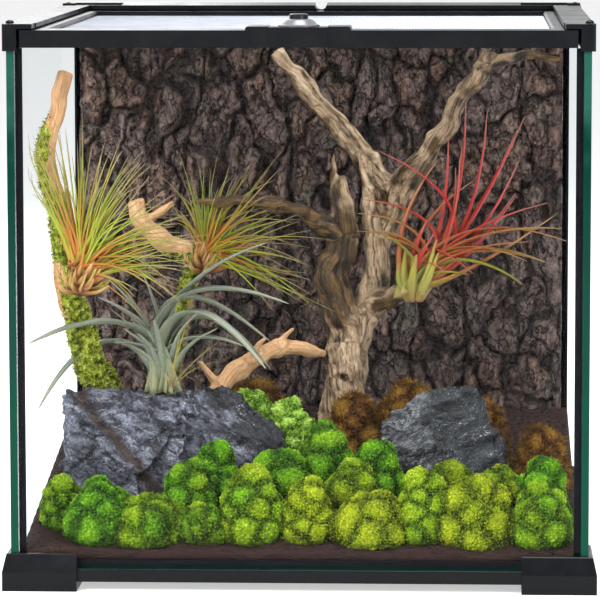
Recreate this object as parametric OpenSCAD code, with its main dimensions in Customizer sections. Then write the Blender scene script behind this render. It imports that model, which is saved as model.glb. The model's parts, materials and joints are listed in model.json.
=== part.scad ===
// Furnished glass terrarium cube: five panes in a moulded frame, a mesh lid that slides out to the
// front, a push lock on the lid, and a planted landscape of soil, rock, wood, moss and air plants.
// X runs to the right, Y to the back, Z up. The origin is on the table under the middle of the tank.

/* [Tank] */
// Width of the glass body across the side panes
tank_w = 300; // [270:1:340]
// Depth of the glass body from front pane to rear pane
tank_d = 300; // [270:1:340]
// Height of the side panes' top edges above the table
pane_top = 288; // [287:1:320]
// Thickness of every pane
glass_t = 4; // [3.5:0.1:4.5]
// Leg of the silicone beads in the corners
seal_leg = 3.7; // [2.5:0.1:5]

/* [Bottom frame] */
// Height of the corner feet
foot_h = 19.5; // [17:0.5:24]
// Length of a foot along each side of the tank
foot_len = 39; // [30:1:50]
// How far the upper rim of a foot stands out from the glass
foot_rim = 2.3; // [2:0.1:3]
// How far the flared lower part of a foot stands out from the glass
foot_flare = 4.4; // [3:0.1:6]
// Height at which the flare of a foot ends
foot_flare_h = 10; // [8:0.5:12]
// Height of the bottom rails above the table
rail_lift = 4.8; // [3:0.1:6]
// Thickness of the rail floor that the panes stand on
rail_floor = 3; // [2:0.1:4]
// Height of the bottom rails
rail_h = 6.9; // [5:0.1:9]

/* [Top frame] */
// Thickness of the frame's outer skirt
skirt_t = 1.85; // [1.2:0.05:3]
// Clearance between a pane and its slot, on each side
slot_gap = 0.15; // [0.05:0.05:0.3]
// Height of the frame skirt below the panes' top edges
skirt_drop = 7.6; // [5:0.1:12]
// Height of the frame above the panes' top edges
frame_rise = 6.4; // [5.6:0.1:10]
// Width of the frame's top lip, from its outer face
lip_w = 16; // [14:0.5:20]
// Thickness of the top lip
lip_t = 2.4; // [1.6:0.1:3]
// Thickness of the shelf that the lid slides on
shelf_t = 1.6; // [1:0.1:2.4]
// Thickness of the frame's inner web beside a pane
web_t = 1.35; // [1:0.05:2]
// Length of the front corner caps along the side rails
cap_len = 16; // [12:0.5:30]
// Length of the rear corner pieces along each side
corner_len = 34.7; // [24:0.1:50]
// How much higher the rear rail is along its back edge
rear_rise = 1.2; // [0:0.1:3]
// Width of the cable notch in the rear rail
notch_d = 7; // [5:0.5:10]
// Diameter of the stacking studs on the corners
stud_d = 4.3; // [3:0.1:6]
// Height of the stacking studs
stud_h = 1.8; // [1:0.1:3]

/* [Lid] */
// Height of the lid frame
lid_h = 6.1; // [5:0.1:6.4]
// Clearance under the lid runners
run_gap = 0.3; // [0.2:0.05:0.5]
// Clearance beside the lid in its grooves
side_gap = 0.4; // [0.3:0.05:0.8]
// Width of the lid's side bars
lid_side_w = 14; // [12:0.5:18]
// Depth of the lid's front bar
lid_front_d = 23; // [22:0.5:28]
// Depth of the lid's rear bar
lid_rear_d = 20; // [14:0.5:26]
// How far the front bar stands out from the front pane
bar_out = 2; // [1.8:0.1:4]
// Height of the front bar's lip that hangs over the front pane
bar_drop = 2.9; // [2:0.1:5]
// Width of the raised grip in the middle of the front bar
grip_w = 54; // [46:1:80]
// Height of the raised grip above the front bar
grip_h = 1.95; // [1:0.05:3]
// Thickness of the mesh sheet
mesh_t = 0.6; // [0.4:0.1:1]
// Pitch of the mesh bars
mesh_pitch = 13; // [12:0.5:20]
// Width of the mesh bars
mesh_bar = 1.4; // [1:0.1:3]
// Depth of the slot that holds the mesh edge
mesh_grip = 3; // [2:0.5:5]

/* [Lock] */
// Width of the lock housing's bare front plate
house_w = 30.6; // [26:0.2:40]
// Diameter of the lock bezel
bezel_d = 21.6; // [18:0.1:22]
// Height of the lock bezel
bezel_h = 3.9; // [3:0.1:6]
// Diameter of the push button
button_d = 9.7; // [8:0.1:12]
// Height of the button above its bezel when the lid is unlocked
button_up = 2.6; // [2:0.1:4]
// Travel of the button from unlocked to locked
lock_travel = 3; // [1.5:0.1:3.6]
// Diameter of the lock bolt
bolt_d = 8; // [5:0.1:8.5]
// Clearance round the button and the bolt
lock_gap = 0.1; // [0.05:0.01:0.2]
// Distance from the front face of the glass back to the bolt's axis
lock_back = 10; // [9.5:0.1:11]

/* [Landscape] */
// Height of the soil at the front pane
soil_front = 20; // [17:0.5:28]
// Rise of the soil from the front pane to the rear pane
soil_rise = 42; // [38:0.5:52]
// Greatest thickness of the bark background
bark_t = 20; // [14:0.5:24]
// Depth of the furrows in the bark background
furrow = 7; // [3:0.5:9]
// Clearance between the landscape and the glass
plant_gap = 0.2; // [0.1:0.1:0.5]
// Steps round a moss cushion
moss_sides = 12; // [10:1:16]
// Steps up a moss cushion
moss_tiers = 5; // [4:1:6]

/* [Hidden] */

round_fn = 64;
hw = tank_w / 2;
hd = tank_d / 2;
in_w = hw - glass_t;
in_d = hd - glass_t;
pane_foot = rail_lift + rail_floor;
base_top = pane_foot + glass_t;
slot_w = glass_t + 2 * slot_gap;
frame_out = skirt_t + slot_gap;
frame_top = pane_top + frame_rise;
skirt_low = pane_top - skirt_drop;
block_w = skirt_t + slot_w + web_t;
lip_low = frame_top - lip_t;
shelf_top = lip_low - 0.8 - lid_h - run_gap;
groove_x = hw + frame_out - block_w;
groove_y = hd + frame_out - block_w;
lid_z = shelf_top + run_gap;
lid_top = lid_z + lid_h;
lid_hw = groove_x - side_gap - 1.2;
lid_run = groove_x - side_gap;
lid_y0 = -hd - bar_out;
lid_y1 = groove_y - side_gap;
pane_gap = 0.6;
front_pane_top = lid_z - pane_gap;
mesh_z = lid_z + lid_h / 2;
mesh_x = lid_run - lid_side_w;
mesh_y0 = lid_y0 + lid_front_d;
mesh_y1 = lid_y1 - lid_rear_d;
lock_y = -hd + lock_back;
house_top = lid_top + grip_h - 0.4;
bezel_top = house_top + bezel_h;
button_h = button_up + bezel_h - lock_travel - lock_gap;
strip_d = mesh_grip + 1;
bark_y = in_d - bark_t;
bark_w = 2 * (in_w - seal_leg - plant_gap);
web_low = shelf_top - shelf_t - 1.4;
bark_top = web_low - plant_gap;

// The rocks, wood, moss and plants are laid out in a room of this width, depth and height, that
// starts behind the front pane, above the soil. The layout stretches with the tank.
layout_room = [292, 292, 261.8];
layout_start = [0, 4, 0];
stretch = [2 * in_w / layout_room[0], 2 * in_d / layout_room[1],
           (web_low - soil_front) / layout_room[2]];
layout_slope = soil_rise / stretch[2] / layout_room[1];

// Height of the soil above its front edge, at a distance from the front of the layout
function rise(y) = layout_slope * (y - layout_start[1]);

// The layout's own frame: X from the middle, Y from the front pane's outer face, Z from the soil
module landscape() {
    translate([0, -in_d, soil_front]) scale(stretch) translate(-layout_start) children();
}

// Makes a copy for the right side from a piece modelled on the left
module right_side() {
    mirror([1, 0, 0]) children();
}

module box_between(a, b) {
    translate(a) cube(b - a);
}

// Glass

module glass_left() {
    color("mediumaquamarine", 0.5)
        box_between([-hw, -hd, pane_foot], [-in_w, hd, pane_top]);
}

module glass_right() {
    right_side() glass_left();
}

module glass_front() {
    color("mediumaquamarine", 0.5)
        box_between([-in_w, -hd, pane_foot], [in_w, -in_d, front_pane_top]);
}

module glass_rear() {
    color("mediumaquamarine", 0.5)
        box_between([-in_w, in_d, pane_foot], [in_w, hd, pane_top]);
}

module glass_bottom() {
    color("mediumaquamarine", 0.5)
        box_between([-in_w, -in_d, pane_foot], [in_w, in_d, base_top]);
}

// A silicone bead has a hollow face between its two legs
module bead_profile() {
    difference() {
        square(seal_leg);
        translate([seal_leg * 1.35, seal_leg * 1.35]) circle(seal_leg * 1.08, $fn = round_fn);
    }
}

module corner_bead() {
    translate([-in_w, -in_d, base_top])
        linear_extrude(web_low - base_top) bead_profile();
}

module corner_seals() {
    color("black") {
        corner_bead();
        mirror([1, 0, 0]) corner_bead();
        mirror([0, 1, 0]) corner_bead();
        mirror([1, 0, 0]) mirror([0, 1, 0]) corner_bead();
    }
}

// The base bead runs round the floor between the corner beads
module base_seal() {
    run_x = in_w - seal_leg - 0.1;
    run_y = in_d - seal_leg - 0.1;
    color("black") {
        for (s = [0, 1]) {
            mirror([0, s, 0]) translate([-run_x, -in_d, base_top]) rotate([90, 0, 90])
                linear_extrude(2 * run_x) bead_profile();
            mirror([s, 0, 0]) translate([-in_w, run_y, base_top]) rotate([90, 0, 0])
                linear_extrude(2 * run_y) bead_profile();
        }
    }
}

// Bottom frame

// Outer shape of a foot on the left front corner, flared towards the table
module foot_shell() {
    slant = foot_flare - foot_rim;
    side = [[0, 0], [foot_len, 0], [foot_len, foot_h], [slant + 0.5, foot_h], [slant, foot_h - 0.5],
            [0, foot_flare_h]];
    translate([-hw - foot_flare, -hd - foot_flare, 0]) intersection() {
        rotate([90, 0, 0]) mirror([0, 0, 1]) linear_extrude(foot_len) polygon(side);
        rotate([90, 0, 90]) linear_extrude(foot_len) polygon(side);
    }
}

// The foot wraps the corner of the panes, carries them on a floor and is open inside the tank line
module foot() {
    color("#1b1d20") difference() {
        foot_shell();
        // seat of the two panes and of the bottom pane
        box_between([-hw - slot_gap, -hd - slot_gap, pane_foot], [hw, hd, foot_h + 1]);
        // hollow under the floor, open to the table
        box_between([-hw + 3, -hd + 3, -1],
                    [-hw - foot_flare + foot_len - 3, -hd - foot_flare + foot_len - 3, pane_foot - 2.4]);
    }
}

module foot_front_left() {
    foot();
}

module foot_front_right() {
    mirror([1, 0, 0]) foot();
}

module foot_rear_left() {
    mirror([0, 1, 0]) foot();
}

module foot_rear_right() {
    mirror([1, 0, 0]) mirror([0, 1, 0]) foot();
}

// Section of a bottom rail: a skirt with a bead along its top edge, and the floor under the pane
module bottom_rail_profile() {
    union() {
        translate([-frame_out, rail_lift]) square([skirt_t, rail_h - skirt_t / 2]);
        translate([-frame_out + skirt_t / 2, rail_lift + rail_h - skirt_t / 2])
            circle(d = skirt_t, $fn = round_fn);
        translate([-frame_out, rail_lift]) square([frame_out + 14, rail_floor]);
    }
}

module bottom_rail(length) {
    color("#1b1d20") translate([-length / 2, 0, 0]) rotate([90, 0, 90])
        linear_extrude(length) bottom_rail_profile();
}

rail_run_x = 2 * (hw + foot_flare - foot_len);
rail_run_y = 2 * (hd + foot_flare - foot_len);

module bottom_rail_front() {
    translate([0, -hd, 0]) bottom_rail(rail_run_x);
}

module bottom_rail_rear() {
    mirror([0, 1, 0]) bottom_rail_front();
}

module bottom_rail_left() {
    translate([-hw, 0, 0]) rotate([0, 0, -90]) bottom_rail(rail_run_y);
}

module bottom_rail_right() {
    right_side() bottom_rail_left();
}

// Top frame

// Section of a top rail, from its outer face inwards: skirt, pane slot, web, shelf and lip
module top_rail_profile(back_rise) {
    edge = 0.8;
    polygon([[0, skirt_low], [skirt_t, skirt_low], [skirt_t, pane_top],
             [skirt_t + slot_w, pane_top], [skirt_t + slot_w, web_low],
             [block_w, web_low], [block_w, shelf_top - shelf_t],
             [lip_w, shelf_top - shelf_t], [lip_w, shelf_top], [block_w, shelf_top],
             [block_w, lip_low], [lip_w, lip_low], [lip_w, frame_top],
             [edge, frame_top + back_rise], [0, frame_top + back_rise - edge]]);
}

module top_rail_left() {
    y0 = -hd - frame_out + cap_len;
    y1 = hd + frame_out - corner_len;
    color("#1b1d20") translate([-hw - frame_out, y1, 0]) rotate([90, 0, 0])
        linear_extrude(y1 - y0) top_rail_profile(0);
}

module top_rail_right() {
    right_side() top_rail_left();
}

module top_rail_rear() {
    x1 = hw + frame_out - corner_len;
    color("#1b1d20") difference() {
        translate([x1, hd + frame_out, 0]) rotate([90, 0, -90])
            linear_extrude(2 * x1) top_rail_profile(rear_rise);
        translate([0, hd + frame_out + 1, frame_top + rear_rise - 0.4])
            rotate([90, 0, 0]) cylinder(h = lip_w + 2, d = notch_d, $fn = round_fn);
    }
}

// A low dome that locates the feet of a tank stacked on top
module stud(x, y) {
    translate([x, y, frame_top - 0.2]) {
        cylinder(h = stud_h * 0.5 + 0.2, d = stud_d, $fn = round_fn);
        translate([0, 0, stud_h * 0.5 + 0.2])
            rotate_extrude($fn = round_fn)
                intersection() {
                    square([stud_d / 2, stud_h * 0.5]);
                    translate([0, stud_h * 0.5 - dome_r]) circle(dome_r, $fn = 96);
                }
    }
}

dome_c = stud_d / 2;
dome_s = stud_h * 0.5;
dome_r = (dome_c * dome_c + dome_s * dome_s) / (2 * dome_s);

// A front cap closes the end of a side rail, holds the front corner of the panes and keeps the
// lid's front bar down with its arm
module cap_front_left() {
    x0 = -hw - frame_out;
    y0 = -hd - frame_out;
    arm = 15.5;
    color("#1b1d20") difference() {
        union() {
            translate([0, 0, skirt_low]) linear_extrude(frame_top - skirt_low)
                translate([x0, y0]) cap_outline(block_w, cap_len, 1.6);
            translate([0, 0, lip_low - 0.1]) linear_extrude(lip_t + 0.1)
                translate([x0, y0]) cap_outline(arm, cap_len, 1.6);
            stud(-hw - frame_out + 3, -hd - frame_out + 11);
        }
        box_between([-hw - slot_gap, -hd - slot_gap, skirt_low - 1],
                    [-in_w + slot_gap, 0, pane_top]);
        box_between([-in_w - slot_gap, -hd - slot_gap, skirt_low - 1],
                    [0, -in_d + seal_leg + slot_gap, front_pane_top + slot_gap]);
    }
}

// Plan of a cap: a rectangle whose outer front corner is rounded
module cap_outline(w, d, r) {
    union() {
        translate([r, 0]) square([w - r, d]);
        translate([0, r]) square([r, d - r]);
        translate([r, r]) circle(r, $fn = round_fn);
    }
}

module cap_front_right() {
    right_side() cap_front_left();
}

// A rear corner joins the side rail and the rear rail
module corner_rear_left() {
    x0 = -hw - frame_out;
    y1 = hd + frame_out;
    color("#1b1d20") difference() {
        union() {
            corner_l(x0, y1, block_w, skirt_low, frame_top + rear_rise);
            corner_l(x0, y1, lip_w, shelf_top - shelf_t, shelf_top);
            corner_l(x0, y1, lip_w, lip_low, frame_top);
            stud(x0 + 3, y1 - 11);
        }
        // the side arm is as low as the side rail
        box_between([x0 - 1, 0, frame_top], [x0 + corner_len + 1, y1 - lip_w, frame_top + 9]);
        // slots of the side pane and the rear pane
        box_between([-hw - slot_gap, 0, skirt_low - 1],
                    [-in_w + slot_gap, hd + slot_gap, pane_top]);
        box_between([-in_w - slot_gap, in_d - slot_gap, skirt_low - 1],
                    [0, hd + slot_gap, pane_top]);
        // the skirt's inner web ends where the rails' web ends
        box_between([-in_w + slot_gap, 0, skirt_low - 1],
                    [0, in_d - slot_gap, web_low]);
    }
}

// An L of two arms on the rear left corner, w wide, between two heights
module corner_l(x0, y1, w, z0, z1) {
    translate([0, 0, z0]) linear_extrude(z1 - z0)
        polygon([[x0, y1], [x0, y1 - corner_len], [x0 + w, y1 - corner_len], [x0 + w, y1 - w],
                 [x0 + corner_len, y1 - w], [x0 + corner_len, y1]]);
}

module corner_rear_right() {
    right_side() corner_rear_left();
}

// Lid

module lid_slot(x0, x1, y0, y1) {
    box_between([x0, y0, mesh_z - 0.1], [x1, y1, mesh_z + mesh_t + 0.1]);
}

// The front bar lies between the caps, hangs over the front pane and has a raised grip
module lid_front_bar() {
    r = 1.4;
    y1 = lid_y0 + lid_front_d;
    color("#202327") difference() {
        union() {
            box_between([-lid_run, lid_y0 + bar_out + cap_len, lid_z], [lid_run, y1, lid_top]);
            box_between([-lid_hw, lid_y0, lid_z], [lid_hw, y1, lid_top]);
            box_between([-lid_hw, lid_y0, lid_z - bar_drop], [lid_hw, -hd - 0.3, lid_z + 0.1]);
            translate([0, y1, 0]) rotate([90, 0, 0]) linear_extrude(lid_front_d) grip_profile(r);
        }
        // recess of the lock housing, with a low strip behind it that holds the mesh edge
        box_between([-house_w / 2 - lock_gap, lid_y0 - 1, lid_z - bar_drop - 1],
                    [house_w / 2 + lock_gap, y1 - strip_d, house_top + 9]);
        box_between([-house_w / 2 - lock_gap, y1 - strip_d - 1, lid_top],
                    [house_w / 2 + lock_gap, y1 + 1, house_top + 9]);
        lid_slot(-mesh_x - mesh_grip - 0.1, mesh_x + mesh_grip + 0.1, y1 - mesh_grip - 0.1, y1 + 1);
    }
}

// Front view of the raised grip, with rounded upper corners
module grip_profile(r) {
    top = lid_top + grip_h;
    union() {
        translate([-grip_w / 2, lid_top - 1]) square([grip_w, grip_h + 1 - r]);
        translate([-grip_w / 2 + r, lid_top - 1]) square([grip_w - 2 * r, grip_h + 1]);
        for (s = [-1, 1])
            translate([s * (grip_w / 2 - r), top - r]) circle(r, $fn = round_fn);
    }
}

module lid_side_left() {
    y0 = lid_y0 + lid_front_d;
    color("#202327") difference() {
        box_between([-lid_run, y0, lid_z], [-mesh_x, mesh_y1, lid_top]);
        lid_slot(-mesh_x - mesh_grip - 0.1, -mesh_x + 1, y0 - 1, mesh_y1 + 1);
        // chamfer along the upper inner edge
        translate([-mesh_x, y0 - 1, lid_top]) rotate([0, 45, 0])
            cube([1.6, 2 * (mesh_y1 - y0 + 2), 1.6], center = true);
    }
}

module lid_side_right() {
    right_side() lid_side_left();
}

module lid_rear_bar() {
    color("#202327") difference() {
        box_between([-lid_run, mesh_y1, lid_z], [lid_run, lid_y1, lid_top]);
        lid_slot(-mesh_x - mesh_grip - 0.1, mesh_x + mesh_grip + 0.1, mesh_y1 - 1,
                 mesh_y1 + mesh_grip + 0.1);
    }
}

// A flat grille that spans the lid frame and ends inside its slots
module lid_mesh() {
    w = 2 * mesh_x;
    d = mesh_y1 - mesh_y0;
    nx = floor(w / mesh_pitch);
    ny = floor(d / mesh_pitch);
    cell_x = w / nx;
    cell_y = d / ny;
    color("dimgray") translate([0, 0, mesh_z]) linear_extrude(mesh_t) difference() {
        translate([-mesh_x - mesh_grip, mesh_y0 - mesh_grip])
            square([w + 2 * mesh_grip, d + 2 * mesh_grip]);
        for (i = [0:nx - 1], j = [0:ny - 1])
            translate([-mesh_x + i * cell_x + mesh_bar / 2, mesh_y0 + j * cell_y + mesh_bar / 2])
                square([cell_x - mesh_bar, cell_y - mesh_bar]);
    }
}

// Lock

module lock_housing() {
    y1 = lid_y0 + lid_front_d - strip_d - lock_gap;
    color("#24272b") difference() {
        union() {
            box_between([-house_w / 2, lid_y0, lid_z], [house_w / 2, y1, house_top]);
            box_between([-house_w / 2, lid_y0, lid_z - bar_drop + 0.2],
                        [house_w / 2, -hd - 0.3, lid_z + 0.1]);
        }
        translate([0, lock_y, lid_z - 1])
            cylinder(h = lid_h + grip_h + 4, d = bolt_d + 2 * lock_gap, $fn = round_fn);
    }
}

// A thin collar under a cone, with a bore for the button
module lock_bezel() {
    bore = button_d / 2 + lock_gap;
    color("#5d6066") translate([0, lock_y, house_top]) rotate_extrude($fn = round_fn)
        polygon([[bore, 0], [bezel_d / 2, 0], [bezel_d / 2, 0.8], [bezel_d / 2 - 0.9, 1.1],
                 [bore + 2.2, bezel_h - 0.5], [bore + 1, bezel_h], [bore, bezel_h]]);
}

module lock_button() {
    top = bezel_top + button_up;
    color("black") translate([0, lock_y, top - button_h]) rotate_extrude($fn = round_fn)
        polygon([[0, 0], [button_d / 2, 0], [button_d / 2, button_h - 0.7],
                 [button_d / 2 - 0.25, button_h - 0.25], [button_d / 2 - 0.9, button_h],
                 [0, button_h]]);
}

bolt_low = lid_z + 0.1;
module lock_bolt() {
    color("silver") translate([0, lock_y, bolt_low]) rotate_extrude($fn = round_fn)
        polygon([[0, 0], [bolt_d / 2 - 0.6, 0], [bolt_d / 2, 0.6],
                 [bolt_d / 2, bezel_top + button_up - button_h - bolt_low],
                 [0, bezel_top + button_up - button_h - bolt_low]]);
}

// Landscape

// The bark sheet has upright plates with furrows between them
module bark_background() {
    steps = 84;
    wave = function(t) 0.5 + 0.28 * sin(t * 2520) + 0.22 * sin(t * 4680 + 70);
    color("#4b3f3c") translate([-bark_w / 2, in_d, base_top + seal_leg])
        linear_extrude(bark_top - base_top - seal_leg)
            polygon(concat([[0, 0]],
                [for (i = [0:steps])
                    [bark_w * i / steps, -bark_t + furrow * wave(i / steps)]],
                [[bark_w, 0]]));
}

module substrate() {
    color("#3a2a22") difference() {
        soil_block(in_w - plant_gap, -in_d + plant_gap, bark_y - plant_gap);
        bead_room();
    }
}

// Room for the silicone beads, a little larger than the beads
module bead_room() {
    leg = seal_leg + plant_gap;
    for (sx = [0, 1], sy = [0, 1])
        mirror([sx, 0, 0]) mirror([0, sy, 0]) translate([-in_w - 1, -in_d - 1, base_top - 1])
            cube([leg + 1, leg + 1, 200]);
    for (s = [0, 1]) {
        mirror([0, s, 0]) box_between([-in_w, -in_d - 1, base_top - 1],
                                      [in_w, -in_d + leg, base_top + leg]);
        mirror([s, 0, 0]) box_between([-in_w - 1, -in_d, base_top - 1],
                                      [-in_w + leg, in_d, base_top + leg]);
    }
}

// The soil as a wedge from the floor to its sloping surface
module soil_block(x1, y0, y1) {
    top = function(y) soil_front + soil_rise * (y + in_d) / (2 * in_d);
    translate([-x1, 0, 0]) rotate([90, 0, 90]) linear_extrude(2 * x1)
        polygon([[y0, base_top], [y1, base_top], [y1, top(y1)], [y0, top(y0)]]);
}

// A rock is the hull of its corner points, cut off where it stands on the soil
module rock(points) {
    hull() for (p = points) translate(p) sphere(1.2, $fn = 6);
}

rock_left_a = [[-130, 76, 0], [-88, 59, 0], [-60, 77, 0], [-58, 127, 0], [-84, 129, 0], [-121, 97, 0],
               [-132, 82, 40], [-90, 64, 30], [-66, 78, 38], [-131, 88, 71], [-118, 96, 74],
               [-97, 103, 73], [-85, 127, 66], [-66, 127, 64], [-62, 100, 62], [-78, 79, 52],
               [-110, 74, 60], [-126, 76, 60]];
rock_left_b = [[-66, 85, 0], [-30, 80, 0], [-10, 86, 0], [-10, 110, 0], [-34, 123, 0], [-68, 125, 0],
               [-30, 82, 28], [-56, 84, 36], [-72, 112, 62], [-58, 117, 73], [-45, 116, 71],
               [-32, 113, 64], [-15, 107, 47], [-26, 88, 46], [-50, 86, 56]];
rock_right_pts = [[45, 98, 0], [72, 90, 0], [104, 94, 0], [110, 112, 0], [103, 132, 0], [50, 134, 0],
                  [39, 112, 0], [40, 110, 53], [50, 100, 51], [72, 92, 33], [90, 92, 31],
                  [104, 98, 35], [54, 120, 63], [66, 124, 68], [83, 124, 70], [91, 124, 68],
                  [98, 119, 58], [108, 109, 40]];

module rock_left() {
    color("slategray") difference() {
        landscape() union() {
            rock(rock_left_a);
            rock(rock_left_b);
        }
        soil_block(tank_w, -hd, hd);
    }
}

module rock_right() {
    color("dimgray") difference() {
        landscape() rock(rock_right_pts);
        soil_block(tank_w, -hd, hd);
    }
}

// A limb is a chain of tapered lengths through its points, each [x, y, z, radius]
module limb(points) {
    for (i = [0:len(points) - 2]) hull() {
        knot(points[i]);
        knot(points[i + 1]);
    }
}

module knot(p) {
    translate([p[0], p[1], p[2]]) sphere(p[3], $fn = 8);
}

// The foot of a trunk is cut level with the sloping soil
module trunk_foot(p, above) {
    hull() {
        translate([p[0], p[1], rise(p[1])]) rotate([atan(layout_slope), 0, 0])
            cylinder(h = 1, r = p[2], $fn = 10);
        knot(above);
    }
}

fork = [19, 190, 86, 11];
crown = [41.5, 200, 153, 8];

module driftwood_tree() {
    color("#7d6a56") landscape() union() {
        trunk_foot([17, 190, 14], [17.5, 190, 66, 12.5]);
        limb([[17.5, 190, 66, 12.5], fork]);
        limb([fork, [13.5, 186, 112, 8.5], [12, 184, 129, 8], [17.5, 184, 148, 7],
              [15, 186, 168, 5.5], [13.5, 188, 182, 4]]);
        limb([[17.5, 184, 148, 6], [9, 184, 154, 5.5], [-2, 180, 160, 5], [-12, 176, 165, 4.2],
              [-35, 170, 169, 3], [-65, 166, 169, 1.6]]);
        limb([fork, [31.5, 196, 110, 8], [35, 198, 139, 7.5], [33.5, 198, 162, 6],
              [30, 198, 179, 4]]);
        limb([[35, 198, 139, 7.5], crown, [44, 200, 167, 7.2], [34, 200, 183, 6.2],
              [25.5, 202, 195, 5.8], [17, 204, 207, 5.4], [0, 206, 226, 5], [-14, 208, 240, 4.6],
              [-22, 208, 251, 4.2]]);
        limb([crown, [48.5, 196, 170, 6.5], [62.5, 198, 193, 5.5], [79, 200, 218, 5],
              [90, 202, 235, 4.6], [99, 204, 251, 4.2]]);
        limb([[94, 203, 243, 3.4], [110, 206, 248, 2.8], [124, 208, 248, 2.4], [139, 208, 247, 1.8]]);
        limb([[44, 200, 167, 4], [48.5, 190, 184, 2.8], [58.5, 186, 195, 1.6]]);
        limb([[31.5, 196, 110, 6], [43, 187, 113, 5], [55, 182, 118, 4]]);
    }
}

module branch_left() {
    color("#b07a45") landscape() union() {
        limb([[-128, 80, 246, 4.4], [-133, 80, 228, 4.4], [-137.5, 78, 206, 4.6],
              [-136.5, 78, 190, 4.8], [-133, 80, 174, 5.6], [-131, 84, 155, 6], [-128, 92, 127, 7],
              [-123.5, 100, 102, 7.4], [-118, 108, 84, 7.8], [-112, 117, 70, 8],
              [-109.5, 120, 45, 8.2]]);
        trunk_foot([-109, 121, 8.4], [-109.5, 120, 45, 8.2]);
    }
}

module branch_back() {
    color("#b07a45") landscape() union() {
        limb([[-101.5, 195, 167, 4.6], [-98, 195, 155, 5.4], [-85, 195, 143, 5.6],
              [-68, 195, 134, 5.6], [-70.5, 195, 119, 5.5], [-75, 195, 102, 5.6],
              [-79, 195, 85, 6], [-83, 193, 62, 6.4]]);
        trunk_foot([-84, 192, 7], [-83, 193, 62, 6.4]);
        limb([[-98, 195, 155, 3], [-88, 197, 160, 2.2], [-80, 198, 166, 1.2]]);
    }
}

module branch_low() {
    color("#b98a5a") landscape() union() {
        trunk_foot([-63, 142, 6], [-58, 142, 50, 5.6]);
        limb([[-58, 142, 50, 5.6], [-50, 143, 67, 5.4], [-34, 150, 81, 5.2], [-21, 157, 87, 5],
              [-8, 164, 87, 4.4], [-2, 169, 85, 3.4],
              [6, 179, 82, 2.4]]);
        limb([[-34, 150, 81, 3], [-30, 146, 90, 2], [-25, 143, 95, 1.2]]);
        limb([[-50, 143, 67, 3.4], [-58, 148, 76, 2], [-62, 150, 81, 1.2]]);
        limb([[-21, 157, 87, 2.6], [-14, 158, 95, 1.6], [-10, 158, 99, 1]]);
    }
}

// A cushion of moss stands on the sloping soil: [x, y, radius, height]. Its outline swells in and
// out a little, and it bulges above its foot.
function moss_swell(t, seed) = 0.9 + 0.06 * sin(3 * t + 60 * seed) + 0.04 * cos(5 * t - 50 * seed);
function moss_bulge(a) = cos(a) + 0.12 * sin(2 * a);

module cushion(c, seed) {
    n = moss_sides;
    tiers = moss_tiers;
    ring = [for (k = [0:tiers - 1], s = [0:n - 1])
        let (a = 90 * k / tiers, t = 360 * s / n,
             reach = c[2] * moss_swell(t + 17 * k, seed) * moss_bulge(a),
             y = c[1] + reach * sin(t))
        [c[0] + reach * cos(t), y, rise(y) + c[3] * sin(a)]];
    foot_mid = [c[0], c[1], rise(c[1])];
    top_mid = [c[0], c[1], rise(c[1]) + c[3]];
    low = n * tiers;
    polyhedron(
        points = concat(ring, [foot_mid, top_mid]),
        faces = concat(
            [for (s = [0:n - 1]) [low, s, (s + 1) % n]],
            [for (k = [0:tiers - 2], s = [0:n - 1])
                [k * n + s, (k + 1) * n + s, (k + 1) * n + (s + 1) % n]],
            [for (k = [0:tiers - 2], s = [0:n - 1])
                [k * n + s, (k + 1) * n + (s + 1) % n, k * n + (s + 1) % n]],
            [for (s = [0:n - 1]) [(tiers - 1) * n + s, low + 1, (tiers - 1) * n + (s + 1) % n]]));
}

module cushions(list) {
    landscape() for (i = [0:len(list) - 1]) cushion(list[i], i);
}

front_row = [[-106, 29, 20.5, 31], [-81, 26.5, 21, 24], [-52, 27, 15, 20], [-26, 30, 18.5, 38],
             [3.5, 28, 14, 33], [36.5, 27.5, 22, 26], [64, 30, 16, 37], [92.7, 28, 22, 35],
             [126, 26, 18, 31]];
middle_row = [[-128, 48, 13, 28], [-61, 52, 16, 34], [-47, 66, 14, 42], [-12.6, 60, 20, 38],
              [11, 80, 18.5, 47], [26, 57, 17, 35], [38, 74, 17, 40], [78, 60, 17, 33],
              [104, 59, 17, 31], [127, 52, 16.5, 36]];
brown_tufts = [[23.5, 154, 17, 42], [53, 172, 20, 43], [-38, 235, 24, 26], [128.5, 118, 16, 34],
               [98, 152, 14, 38]];
light_patch = [[-34, 149, 20, 45], [-12, 147, 17, 40]];

// The first row of cushions ends, and the second one starts, this far from the front
rows_meet = 45;

// The stretch of the landscape between two distances from the front
module strip(y0, y1) {
    landscape() box_between([-layout_room[0], y0, -1], [layout_room[0], y1, layout_room[2]]);
}

module moss_front() {
    color("olivedrab") intersection() {
        cushions(front_row);
        strip(0, rows_meet);
    }
}

module moss_middle() {
    color("yellowgreen") intersection() {
        cushions(middle_row);
        strip(rows_meet + plant_gap, layout_room[1]);
    }
}

module moss_light() {
    color("greenyellow") cushions(light_patch);
}

module moss_brown() {
    color("saddlebrown") cushions(brown_tufts);
}

// A leaf is a thin curved blade that rises from the foot of the plant and droops to its tip
function arc_at(a, b, lift, t) =
    a + (b - a) * (0.35 * 2 * t * (1 - t) + t * t) + [0, 0, lift * 2 * t * (1 - t)];

module leaf(a, b, lift, thick) {
    steps = 3;
    for (i = [0:steps - 1]) hull() {
        t0 = i / steps;
        t1 = (i + 1) / steps;
        translate(arc_at(a, b, lift, t0)) sphere(thick * (1 - 0.75 * t0), $fn = 5);
        translate(arc_at(a, b, lift, t1)) sphere(thick * (1 - 0.75 * t1), $fn = 5);
    }
}

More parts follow.
